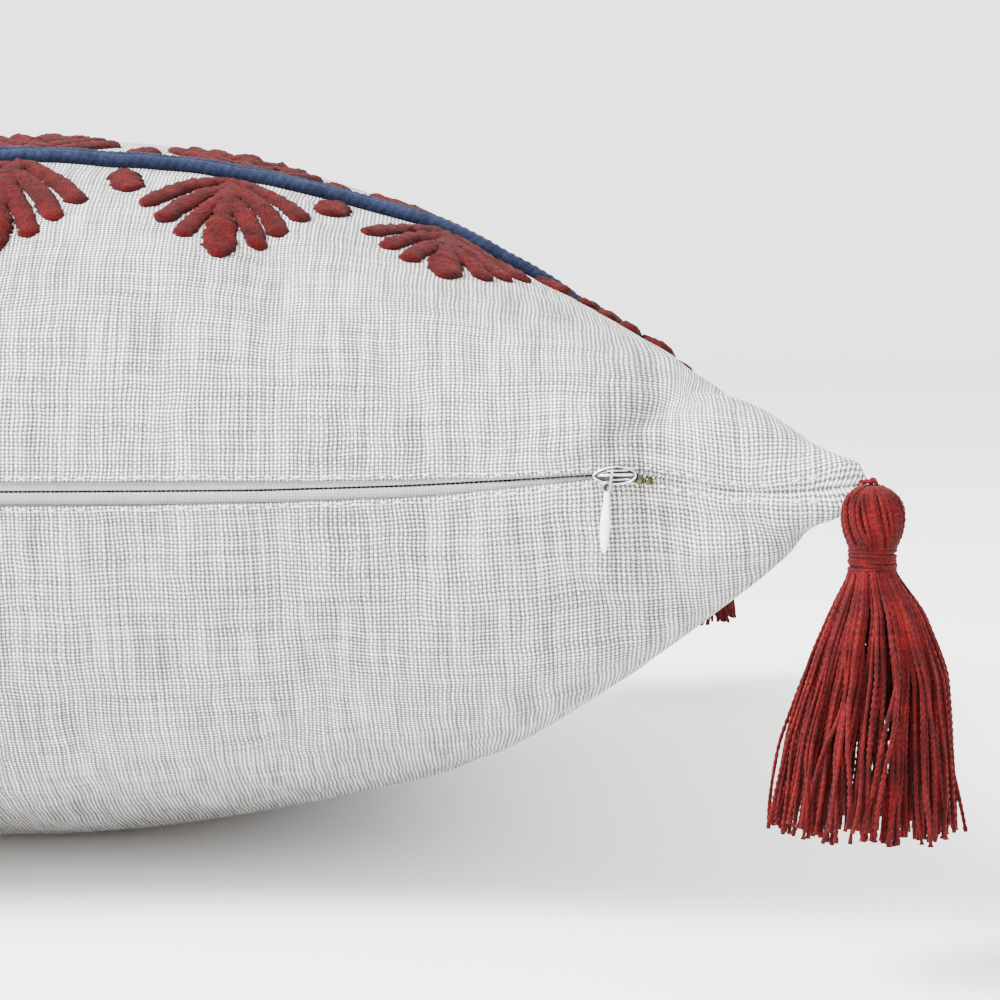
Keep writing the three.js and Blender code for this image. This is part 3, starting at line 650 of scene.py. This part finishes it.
def sheet_part(points, a, b, side):
    """A grid of points as a part, mapped from 0 to 1 each way."""
    quads = grid_quads(np.arange(a.size).reshape(a.shape))
    uv = np.stack([(a + 1) / 2, (b + 1) / 2], -1).reshape(-1, 2)
    return points.reshape(-1, 3), quads[:, ::side].tolist(), uv


def panel(name, grid, side, node):
    places, tucked = edge_lines()
    a, b = np.meshgrid(places, places, indexing="ij")
    tuck = tucked[:, None] | tucked[None]
    points = sewn(on_grid(grid, a, b), a, b, side, tuck)
    obj = piece(name, [sheet_part(points, a, b, side)], LINEN, "cushion", [node])


panel("cover_front", front_grid, 1, "front_panel")
panel("cover_back", back_grid, -1, "back_panel")


# ---- Insert: the casing and filling follow the cover from inside
def inner_layer(name, sides, inset, shrink, surface, node):
    """Panels at a depth under the cover, that meet at a smaller seam."""
    parts = []
    lines = np.linspace(-1, 1, 61)
    a, b = np.meshgrid(lines, lines, indexing="ij")
    centre = np.array([0, 0, SEAM_Z])
    for side in sides:
        points = cover_surface(a, b, side)
        by_a, by_b = np.gradient(points, axis=0), np.gradient(points, axis=1)
        normal = unit(np.cross(by_a, by_b)) * side
        edge = np.maximum(np.abs(a), np.abs(b)) ** 8
        seam = centre + (points - centre) * [shrink, shrink, 1]
        points = (points - normal * inset) * (1 - edge[..., None]) + seam * edge[..., None]
        points[..., 2] = np.maximum(points[..., 2], inset)
        parts.append(sheet_part(points, a, b, side))
    obj = piece(name, parts, surface, "cushion", [node])


for place, side in (("front", 1), ("back", -1)):
    name = f"insert_casing_{place}"
    inner_layer(name + "_cloth", [side], 8.0, 0.95, CASING, name)
inner_layer("insert_fibre", [1, -1], 10.0, 0.94, FIBRE, "insert_filling")


# ---- Embroidery
def rope(name, along, node, rings=620):
    """A twisted rope couched on the front, from seam to seam."""
    across = np.linspace(-ROPE_END, ROPE_END, rings) * CLOTH_HALF
    point, normal = cloth_at(across, np.full(rings, along))
    path = point + normal * ROPE_RADIUS * 0.9
    part = one_tube(path, normal, ROPE_RADIUS, sides=12, lobes=3, depth=0.09, pitch=8.0)
    piece(name, [part], NAVY, "cushion", [node])


for band, sign in (("near", -1), ("far", 1)):
    for place, shift in (("a", -ROPE_PITCH / 2), ("b", ROPE_PITCH / 2)):
        rope(f"navy_rope_{band}_{place}", sign * BAND_REACH + shift, f"rope_{band}_{place}")

# A petal: start, bend and tip, as distances across and away from the band, its half width, and
# how blunt its ends are.
PETALS = [
    ((1.0, 4.0), (12.5, 16.0), (23.5, 35.5), 3.3, 5.0),
    ((1.0, 15.0), (9.5, 24.0), (17.6, 45.0), 3.3, 5.0),
    ((1.0, 27.0), (6.0, 34.0), (11.2, 52.5), 3.2, 5.0),
]
HEART = ((0.0, 2.5), (0.0, 20.0), (0.0, 42.0), 3.8, 1.6)
CENTRE_PETAL = ((0.0, 37.5), (0.0, 49.0), (0.0, 60.0), 4.8, 1.3)
DOT = ((0.0, 6.5), (1.5, 15.0), (3.5, 25.5), 5.0, 1.25)
PAD_HEIGHT = 2.0


def stitched_pad(place, direction, start, bend, tip, half_width, blunt, seed, rings=26, sides=12):
    """One raised pad of red stitches on the cloth, along a curve in cloth millimetres."""
    t = np.linspace(0, 1, rings)[:, None]
    start, bend, tip = (np.array(p) for p in (start, bend, tip))
    line = (1 - t) ** 2 * start + 2 * t * (1 - t) * bend + t**2 * tip
    across = place[0] + line[:, 0]
    along = place[1] + direction * line[:, 1]
    point, normal = cloth_at(across, along)
    inside = np.clip(1 - (2 * t[:, 0] - 1) ** 2, 0, 1)
    wide = half_width * np.clip(inside * blunt, 0.05, 1) ** 0.5
    high = PAD_HEIGHT * np.clip(inside * 6, 0.05, 1) ** 0.5
    return tubes(point[None], normal[None], wide[None], high[None], sides, rough=0.10, seed=seed)


def mirrored(points):
    """The petal on the other side of the fan's middle."""
    return tuple((-p[0], p[1]) if isinstance(p, tuple) else p for p in points)


def embroidery_row(name, band, direction):
    """The fans and dots along one side of a band."""
    parts = []
    seed = 10
    fans = [MOTIF_SHIFT + MOTIF_PITCH * k for k in range(-3, 4)]
    dots = [MOTIF_SHIFT + MOTIF_PITCH * (k + 0.5) for k in range(-4, 4)]
    for across in fans:
        for shape in [*PETALS, *[mirrored(p) for p in PETALS], HEART, CENTRE_PETAL]:
            seed += 1
            parts.append(stitched_pad((across, band), direction, *shape, seed))
    for across in dots:
        seed += 1
        shape = DOT if seed % 2 else mirrored(DOT)
        if abs(across) < CLOTH_HALF - 12:
            parts.append(stitched_pad((across, band), direction, *shape, seed))
    piece(name, parts, RED, "cushion")


for band, sign in (("near", -1), ("far", 1)):
    embroidery_row(f"red_fans_{band}_outer", sign * (BAND_REACH + ROPE_PITCH), sign)
    embroidery_row(f"red_fans_{band}_inner", sign * (BAND_REACH - ROPE_PITCH), -sign)


# ---- Stitches beside the zipper and along the plain seam
STITCH_PITCH = 3.9
STITCH_LENGTH = 1.9
STITCH_RADIUS = 0.26
STITCH_END = 236.0  # cloth distance from the middle to the last stitch
ZIP_STITCH_RISE = 1.3  # from the folded edge to the stitches
PLAIN_STITCH_RISE = 2.1


def stitches():
    parts = []
    taper = np.array([0.5, 0.9, 1, 1, 0.9, 0.5])
    arch = np.sin(np.linspace(0, math.pi, len(taper)))[:, None]
    for side in (1, -1):
        for k, start in enumerate(np.arange(-STITCH_END, STITCH_END, STITCH_PITCH)):
            a = (start + np.linspace(0, STITCH_LENGTH, len(taper))) / CLOTH_HALF
            rise = ZIP_STITCH_RISE if abs(start) < ZIP_END_X else PLAIN_STITCH_RISE
            b = np.full(len(taper), -1 + (rise + 0.25 * math.sin(k * 1.7)) / CLOTH_HALF)
            path = cover_surface(a, b, side)
            up = cover_surface(a, b + 0.01, side) - path
            out = unit(np.cross(unit(np.gradient(path, axis=0)), unit(up))) * side
            path = path + out * (0.20 * arch - 0.08)
            parts.append(one_tube(path, out, STITCH_RADIUS * taper, sides=6))
    piece("seam_stitches", parts, THREAD, "cushion")


stitches()


# ---- Zipper
def seam_frame(x):
    """Points of the near seam between the panels, with the directions into the cushion and along."""
    a = np.interp(x, *seam_table)
    point = cover_surface(a, np.full(a.shape, -1.0), 1)
    point[..., 2] -= lip_gap(x, 1)
    along = unit(np.gradient(point, axis=0))
    inward = unit(np.cross(UP, along))
    return point, inward, along


UP = np.array([0.0, 0.0, 1.0])
table_a = np.linspace(-1, 1, 401)
seam_table = (on_grid(front_grid, table_a, np.full(401, -1.0))[:, 0], table_a)
ZIP_X = np.linspace(-ZIP_END_X, ZIP_END_X, 560)
TAPE_DEPTH = 0.9  # from the seam's face to the tape's
SLIT = 0.30  # half the gap between the tapes
TAPE_WIDTH = 7.0
# The tape's section: height from the seam, then depth behind the tape's face.
TAPE_ROWS = [(SLIT, 0.0), (SLIT, 0.5), (TAPE_WIDTH, 4.6), (TAPE_WIDTH, 4.1), (4.4, 0.9), (1.0, 0.0)]
FREE_EDGE = 1.5  # height where the tape starts to follow the cover
END_FOLD = 4.5  # how much deeper the zipper lies at its ends, behind the seam


def end_fold(x):
    return END_FOLD * (1 - zip_share(x))


def tape(name, side, node):
    """A woven tape behind the folded edge, closed all round."""
    point, inward, _ = seam_frame(ZIP_X)
    a = np.interp(ZIP_X, *seam_table)
    ring = []
    for height, behind in TAPE_ROWS:
        under = np.maximum(height - lip_gap(ZIP_X, side), 0)
        cover = cover_surface(a, -1 + under / CLOTH_HALF, side)
        sunk = np.sum((cover - point) * inward, -1) + TAPE_DEPTH
        depth = np.full(len(a), TAPE_DEPTH + behind)
        if height > FREE_EDGE:
            depth = np.maximum(depth, sunk + behind / 6)
        ring.append(point + side * height * UP + inward * (depth + end_fold(ZIP_X))[:, None])
    ring = np.stack(ring, 1)
    faces = tube_faces(1, *ring.shape[:2])
    if side > 0:
        faces = [face[::-1] for face in faces]
    uv = np.stack(np.broadcast_arrays([height for height, _ in TAPE_ROWS], ZIP_X[:, None]), -1)
    piece(name, [(ring.reshape(-1, 3), faces, uv.reshape(-1, 2))], TAPE, "cushion", [node])


COIL_TURNS = 300
COIL_HEIGHT = 0.75  # from the seam to the coil's axis
COIL_DEPTH = 2.3
COIL_WIRE = 0.22


def coil(name, side, node, steps=9):
    """The wound teeth inside the tape's edge."""
    x = np.linspace(-ZIP_END_X + 2, ZIP_END_X - 2, COIL_TURNS * steps)
    point, inward, along = seam_frame(x)
    angle = TURN * np.arange(len(x)) / steps
    height = side * (COIL_HEIGHT + 0.5 * np.cos(angle))
    depth = COIL_DEPTH + end_fold(x) + 0.55 * np.sin(angle)
    path = point + height[:, None] * UP + depth[:, None] * inward
    piece(name, [one_tube(path, along, COIL_WIRE, sides=5)], COIL, "cushion", [node])


for kind, make in (("tape", tape), ("coil", coil)):
    for place, side in (("upper", 1), ("lower", -1)):
        make(f"{kind}_{place}", side, f"zip_{kind}_{place}")

STOP_X = 184.0
STOP_DROP = 0.9  # the beads sit below the seam's edge
STOP_BEADS = [(0.0, 1.2), (2.3, 0.95)]  # distance past the first, then radius


def stop_beads(name, node, sign):
    """A bent metal clip that shows as two beads beside the seam."""
    at, inward, along = (v[0] for v in seam_frame(sign * np.array([STOP_X, STOP_X + 0.1])))
    parts = []
    for shift, size in STOP_BEADS:
        t = np.linspace(-1, 1, 9)
        wide = np.sqrt(np.clip(1 - t**2, 0.02, 1)) * size
        path = at + along * sign * shift + inward * 0.15 + np.outer(t * size, UP) - STOP_DROP * UP
        parts.append(one_tube(path, inward, wide, wide * 0.9, sides=12, rough=0.05, seed=4))
    piece(name, parts, BRASS, "cushion", [node])


stop_beads("stop_closed", "zip_stop_closed_end", 1)
stop_beads("stop_open", "zip_stop_open_end", -1)

# ---- Slider, link and pull, placed by the joints that they turn on
joints = {joint["name"]: joint for joint in frame["joints"]}
travel = joints["slider_travel"]
SLIDER_UP = unit(np.array(travel["axis"]))
slider_at = np.sum(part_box("slider_body"), axis=0) / 2 / MM
to_slider = slider_at - np.array(travel["pos_m"]) / MM
SLIDER_IN = unit(to_slider - SLIDER_UP * np.dot(to_slider, SLIDER_UP))
SLIDER_ALONG = np.cross(SLIDER_IN, SLIDER_UP)
RAISE = 2.6 * SLIDER_UP  # the seam's rise at the slider
PROUD = 0.7  # how far the drawn slider stands out from its solid
SLIDER_HALF = 5.5
SLIDER_HALF_HEIGHT = 2.3
SLIDER_NOSE = 1.08  # how much longer its open end is
# The plate's layers: share of the outline, then distance out from the slider's middle.
SLIDER_LAYERS = [(0.25, -1.6), (0.93, -1.4), (1.0, -0.9), (1.0, 0.9), (0.95, 1.25), (0.2, 1.3)]


def slider_point(along, out, up):
    """Points at distances along, out of and up from the slider's middle."""
    return (slider_at + RAISE + np.multiply.outer(along, SLIDER_ALONG)
            - np.multiply.outer(out + PROUD, SLIDER_IN) + np.multiply.outer(up, SLIDER_UP))


def slider_outline(scale, out, steps=48):
    """An almond with its sharp nose to the open side."""
    angle = TURN * np.arange(steps) / steps
    along = SLIDER_HALF * np.cos(angle) * np.where(np.cos(angle) < 0, SLIDER_NOSE, 1.0)
    up = SLIDER_HALF_HEIGHT * np.sin(angle) * (1 - 0.34 * np.maximum(-np.cos(angle), 0) ** 1.5)
    return slider_point(along * scale, np.full(steps, out), up * scale)


def ridge(start, end, up_start, up_end, out, radius, arch=0.0):
    """A rounded ridge along the slider."""
    t = np.linspace(0, 1, 21)
    path = slider_point(start + (end - start) * t, out + arch * np.sin(math.pi * t) ** 0.5,
                        up_start + (up_end - up_start) * t)
    wide = radius * np.clip(np.sin(math.pi * t) * 5, 0.15, 1) ** 0.5
    return one_tube(path, -SLIDER_IN, wide, sides=10)


def slider():
    rings = np.stack([slider_outline(scale, out) for scale, out in SLIDER_LAYERS])
    faces = [face[::-1] for face in tube_faces(1, *rings.shape[:2])]
    plate = (rings.reshape(-1, 3), faces, np.zeros((rings.size // 3, 2)))
    # The plate is near-black steel under the brighter ridges: painted shade for the dark gaps and bars
    # between them.
    piece("slider_plate", [plate], SHADE_STEEL, "slider", ["slider_body"])
    rim = ring_tube(slider_outline(0.97, 1.25), -SLIDER_IN, 0.30, sides=10)
    upper = ridge(-2.2, 3.6, 1.15, 1.25, 1.5, 0.22)
    crown = ridge(-4.6, 4.9, 0.05, 0.15, 1.55, 0.36, 0.75)
    lower = ridge(-1.6, 3.9, -1.15, -0.95, 1.5, 0.24)
    piece("slider_ridges", [rim, upper, crown, lower], STEEL, "slider", ["slider_crown"])


slider()

LINK_RADIUS = 1.15
LINK_WIRE = 0.29
LINK_LEAN = 0.16  # towards the closed end, for each millimetre of height
EYE_RADIUS = 1.22
EYE_SHADE_RADIUS = 0.72
PULL_LEAN = 0.055
# The teardrop: distances from the eye, then half widths and half heights there.
DROP_START, DROP_END = 1.3, 16.8
DROP_WIDE_AT = [DROP_START, 2.6, 3.6, 6.0, 9.5, 12.5, 15.0, 16.3, DROP_END]
DROP_WIDE = [0.80, 0.78, 0.76, 1.02, 1.34, 1.22, 0.92, 0.62, 0.2]
DROP_HIGH_AT = [DROP_START, 3.0, 9.5, 15.0, DROP_END]
DROP_HIGH = [0.45, 0.55, 1.0, 0.7, 0.2]
ROUND = np.linspace(0, TURN, 33)[:-1]
link_at = np.array(joints["link_swing"]["pos_m"]) / MM + RAISE - PROUD * SLIDER_IN
tab_at = np.array(joints["tab_swing"]["pos_m"]) / MM + RAISE - PROUD * SLIDER_IN


def link():
    """A long wire ring from the crown to the pull's eye."""
    reach = np.linalg.norm(tab_at - link_at)
    out = unit(-SLIDER_IN + 0.25 * SLIDER_ALONG)
    height = np.where(np.cos(ROUND) > 0, 0.0, -reach) + LINK_RADIUS * np.cos(ROUND)
    path = (link_at + np.outer(LINK_RADIUS * np.sin(ROUND), out) + np.outer(height, SLIDER_UP)
            + np.outer(LINK_LEAN * (height + reach), SLIDER_ALONG))
    wire = ring_tube(path, SLIDER_ALONG, LINK_WIRE, sides=10)
    piece("link_wire", [wire], STEEL, "pull_link", ["pull_link"])


link()


def pull():
    """A glossy teardrop on its eye."""
    lean = unit(-SLIDER_UP - PULL_LEAN * SLIDER_ALONG)
    side = unit(np.cross(lean, SLIDER_IN))
    eye = tab_at + 0.5 * SLIDER_UP - 0.6 * SLIDER_ALONG
    circle = np.outer(np.cos(ROUND), side) + np.outer(np.sin(ROUND), lean)
    ring = ring_tube(eye + EYE_RADIUS * circle, -SLIDER_IN, 0.44, 0.42, sides=12)
    # A near-black ring that fills the eye's hole: painted shade, where the hole is dark.
    eye_shade = ring_tube(eye + EYE_SHADE_RADIUS * circle + 0.25 * SLIDER_IN, -SLIDER_IN, 0.34, sides=10)
    length = np.linspace(DROP_START, DROP_END, 48)
    wide = np.interp(length, DROP_WIDE_AT, DROP_WIDE)
    high = np.interp(length, DROP_HIGH_AT, DROP_HIGH)
    path = eye + np.outer(length, lean) - np.outer(0.25 * np.sin(length / 17 * math.pi), SLIDER_IN)
    drop = one_tube(path, -SLIDER_IN, wide, high, sides=24)
    piece("pull_drop", [drop], ENAMEL, "pull_tab", ["pull_tab"])
    piece("pull_eye", [ring], PLATED, "pull_tab")
    piece("pull_eye_shade", [eye_shade], SHADE_STEEL, "pull_tab")


pull()


# ---- Tassels
STRANDS = 182  # on the outside of a skirt
FILL_STRANDS = 95  # inside it
STRAND_RADIUS = 0.50
CORD = {"sides": 8, "lobes": 2, "depth": 0.2, "pitch": 2.6}  # yarn that is wound or looped
HOOK_RADIUS = 1.25  # of the bends where the loop and the head's eye hang
BAR_SPAN = 1.1  # half the anchor's bar
BAR_BACK = -3.2  # how far its ends run back into the corner
EYE_DROP = -3.2  # from the hook to the bottom of the head's eye
BINDING_RADIUS = 5.5
BINDING_PITCH = 0.62
NEAR_SKIRT_DROP = 3.0  # how far a skirt hangs below its solid
FAR_SKIRT_DROP = 9.5
# Radii down the head, then down the skirt, as shares of each one's height.
HEAD_AT = [0.0, 0.06, 0.18, 0.34, 0.54, 0.74, 0.90, 1.0]
HEAD_WIDE = [1.8, 4.4, 6.5, 7.5, 7.7, 7.1, 6.1, 5.5]
SKIRT_AT = [0.0, 0.05, 0.16, 0.30, 0.41, 0.68, 0.92, 1.0]
SKIRT_WIDE = [5.0, 6.8, 11.0, 14.6, 17.0, 20.4, 22.4, 22.8]
LEAN_AT = [0.0, 0.16, 0.41, 0.68, 1.0]
LEANS = {
    "near_right": [0.0, 1.5, 1.5, -0.2, -1.4],
    "near_left": [0.0, -0.8, -1.2, -0.5, 1.2],
    "far_right": [0.0, 0.5, 0.6, 1.2, 2.0],
    "far_left": [0.0, -0.5, 0.4, 0.9, -0.5],
}
RISE = 3.0  # the yarn head sits up against the corner


def link_path(top, bottom, radius, plane):
    """A closed oval from top to bottom, in the plane of Z and the given direction."""
    angle = np.linspace(0, TURN, 29)[:-1]
    height = np.where(np.cos(angle) > 0, top - radius, bottom + radius) + radius * np.cos(angle)
    return np.outer(radius * np.sin(angle), plane) + np.outer(height, [0, 0, 1])


def skirt(centre, top, low, leans, seed):
    """Strands that leave the binding, flare and hang."""
    rng = np.random.default_rng(seed)
    parts = []
    layers = [(STRANDS, 72, 6, 0.86, 1.03), (FILL_STRANDS, 30, 5, 0.35, 0.85)]
    for count, rings, sides, near, far in layers:
        around = TURN * (np.arange(count) * 0.61803 + 0.03 * rng.standard_normal(count))
        shell = rng.uniform(near, far, count)
        t = np.linspace(0, 1, rings)
        length = (top - low) * (1 - 0.07 * rng.random(count) ** 1.5)
        flare = rounded_profile(t, SKIRT_AT, SKIRT_WIDE)
        loose = np.where(rng.random(count) < 0.09, 2.6, 1.0)[:, None]
        swing = np.sin(math.pi * t)[None] * rng.standard_normal((count, 1)) * 0.035 * loose
        spread = 1 + 0.06 * rng.standard_normal((count, 1)) * t[None] + swing
        reach = np.minimum(shell[:, None] * flare[None] * spread, flare[None] * 1.12 + 0.4)
        wander = np.zeros((count, rings))
        for wave in (1.0, 2.3, 4.1):
            phase = rng.uniform(0, TURN, (count, 1))
            size = rng.standard_normal((count, 1)) * 0.045 / wave * loose
            wander += size * np.sin(wave * math.pi * t + phase)
        angle = around[:, None] + wander * (0.3 + t[None]) + 0.13 * t[None] * rng.standard_normal((count, 1))
        z = top + 1.5 - (length[:, None] + 1.5) * t[None]
        x = centre[0] + reach * np.cos(angle) + np.interp(t, LEAN_AT, leans)
        y = centre[1] + reach * np.sin(angle)
        outward = np.stack([np.cos(angle), np.sin(angle), np.zeros_like(angle)], -1)
        width = STRAND_RADIUS * rng.uniform(0.85, 1.15, (count, 1)) * np.ones((count, rings))
        width[:, -3:] *= [1.0, 1.15, 1.35]
        phase = rng.uniform(0, TURN, count)
        parts.append(tubes(np.stack([x, y, z], -1), outward, width, sides=sides, lobes=2, depth=0.30,
                           pitch=3.6, phase=phase))
    return parts


def core(centre, z, radius):
    """A plain solid inside the strands, so that nothing shows through."""
    path = np.stack([np.full(len(z), centre[0]), np.full(len(z), centre[1]), z], -1)
    return one_tube(path, [1.0, 0, 0], radius, sides=28)


def bulb(centre, top, low, seed, count=76, rings=30):
    """Strands over the head, from the loop down to the binding."""
    rng = np.random.default_rng(seed)
    around = TURN * (np.arange(count) + rng.uniform(-0.35, 0.35, count)) / count
    t = np.linspace(0.0, 1.0, rings)
    reach = rounded_profile(t, HEAD_AT, HEAD_WIDE)
    z = top - (top - low) * t
    angle = around[:, None] + 0.45 * t[None] + 0.10 * rng.standard_normal((count, 1)) * np.sin(math.pi * t)
    wide = rng.uniform(0.93, 1.01, (count, 1)) * reach[None]
    height = z + 0.25 * rng.standard_normal((count, 1))
    paths = np.stack([centre[0] + wide * np.cos(angle), centre[1] + wide * np.sin(angle), height], -1)
    outward = unit(paths - [centre[0], centre[1], (top + low) / 2])
    phase = rng.uniform(0, TURN, count)
    strands = tubes(paths, outward, STRAND_RADIUS, sides=6, lobes=2, depth=0.28, pitch=3.0, phase=phase)
    return [strands, core(centre, z - 0.3, reach - 0.5)]


def binding(centre, top, low, radius, seed, steps=72):
    """Yarn wound round the neck, each turn at its own slant."""
    rng = np.random.default_rng(seed)
    parts = []
    turn = TURN * np.arange(steps) / steps
    count = int((top - low) / BINDING_PITCH)
    for k in range(count):
        height = top - 0.4 - (top - low - 0.8) * k / (count - 1)
        wide = radius + rng.uniform(-0.15, 0.25) + 0.1 * np.sin(2 * turn + rng.uniform(0, TURN))
        slant = rng.uniform(-0.7, 0.7)
        z = height + slant * np.sin(turn + rng.uniform(0, TURN))
        path = np.stack([centre[0] + wide * np.cos(turn), centre[1] + wide * np.sin(turn), z], -1)
        parts.append(ring_tube(path, UP, 0.46, **CORD))
    inside = top - 0.2 + (low - top + 0.4) * np.linspace(0, 1, 12)
    return [*parts, core(centre, inside, radius - 0.1)]


def yarn_piece(kind, corner, parts, body):
    piece(f"{kind}_yarn_{corner}", parts, CRIMSON, body, [f"tassel_{kind}_{corner}"])


def box_mm(node):
    return (np.array(p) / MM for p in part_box(node))


def tassel(corner, sign_x, sign_y, seed):
    """The loop on its anchor in the seam, then the head, binding and skirt that hang from it."""
    out = np.array([sign_x, sign_y, 0]) * math.sqrt(0.5)
    side = np.array([-out[1], out[0], 0])
    low, high = box_mm(f"tassel_loop_{corner}")
    middle = (low + high) / 2
    pivot = np.array([middle[0], middle[1], high[2] - HOOK_RADIUS - STRAND_RADIUS])
    loop = pivot + link_path(0.6, low[2] + STRAND_RADIUS - pivot[2], 0.9, out)
    yarn_piece("loop", corner, [ring_tube(loop, side, STRAND_RADIUS, **CORD)], f"tassel_loop_{corner}")

    t = np.linspace(-1, 1, 21) * 1.6
    bar = (pivot + np.outer(np.clip(t, -1, 1) * BAR_SPAN, side)
           + np.outer(BAR_BACK * np.clip(np.abs(t) - 0.6, 0, 1), out))
    yarn_piece("anchor", corner, [one_tube(bar, UP, STRAND_RADIUS, **CORD)], "cushion")

    body = f"tassel_{corner}"
    bind_low, bind_high = box_mm(f"tassel_binding_{corner}")
    skirt_low, skirt_high = box_mm(f"tassel_skirt_{corner}")
    head_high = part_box(f"tassel_head_{corner}")[1][2] / MM
    hook = head_high - HOOK_RADIUS - STRAND_RADIUS
    centre = (skirt_low + skirt_high)[:2] / 2
    eye = np.array([centre[0], centre[1], hook]) + link_path(HOOK_RADIUS, EYE_DROP, HOOK_RADIUS, side)
    head = bulb(centre, hook + 1.2, bind_high[2] + RISE - 0.6, seed)
    yarn_piece("head", corner, [ring_tube(eye, out, STRAND_RADIUS, **CORD), *head], body)
    wound = binding(centre, bind_high[2] + RISE + 0.2, bind_low[2] + RISE + 0.6, BINDING_RADIUS, seed)
    yarn_piece("binding", corner, wound, body)
    low_end = skirt_low[2] - (NEAR_SKIRT_DROP if sign_y < 0 else FAR_SKIRT_DROP)
    yarn_piece("skirt", corner, skirt(centre, skirt_high[2] + RISE, low_end, LEANS[corner], seed), body)


for seed, (corner, (sign_x, sign_y)) in enumerate(CORNERS.items()):
    tassel(corner, sign_x, sign_y, 20 + seed)


# ---- Floor, light and camera, in metres
FLOOR_HALF = 12.0
WORLD_STRENGTH = 2.9
CAMERA_AT = (0.1333, -0.8292, 0.1666)
CAMERA_DOWN = 4.18  # degrees below the horizon
CAMERA_TURN = -1.42
CAMERA_LENS = 85.75


def floor():
    mesh = bpy.data.meshes.new("floor")
    corners = [(x * FLOOR_HALF, y * FLOOR_HALF, 0) for x, y in ((-1, -1), (1, -1), (1, 1), (-1, 1))]
    mesh.from_pydata(corners, [], [(0, 1, 2, 3)])
    g = Graph("floor")
    patches = g.noise(g.node("TexCoord", output="Object"), 2.0)
    color = g.ramp(patches, [(0.2, (0.95, 0.935, 0.915)), (0.8, (0.97, 0.955, 0.935))])
    mesh.materials.append(g.finish(Base_Color=color, Roughness=0.9))
    added("floor", mesh)


def area_light(name, place, target, size, power, color=(1, 1, 1)):
    light = bpy.data.lights.new(name, "AREA")
    light.shape = "SQUARE"
    light.size = size
    light.energy = power
    light.color = color
    obj = added(name, light)
    obj.location = place
    obj.rotation_euler = (Vector(target) - Vector(place)).to_track_quat("-Z", "Y").to_euler()


floor()
area_light("key", (-1.3, -0.8, 1.7), (0, 0, 0.1), 1.0, 230, (0.97, 0.985, 1.0))
area_light("fill", (0.3, -1.8, 0.1), (0, 0, 0.08), 0.9, 10, (1.0, 0.86, 0.70))
world = bpy.data.worlds.new("studio")
world.use_nodes = True
sky = world.node_tree.nodes["Background"]
sky.inputs[0].default_value = (1, 1, 1, 1)
sky.inputs[1].default_value = WORLD_STRENGTH
bpy.context.scene.world = world

camera = bpy.data.cameras.new("camera")
camera.lens = CAMERA_LENS
camera.sensor_width = 36.0
camera_object = added("camera", camera)
camera_object.location = CAMERA_AT
camera_object.rotation_euler = (math.radians(90 - CAMERA_DOWN), 0, math.radians(CAMERA_TURN))
bpy.context.scene.camera = camera_object

bpy.context.view_layer.update()
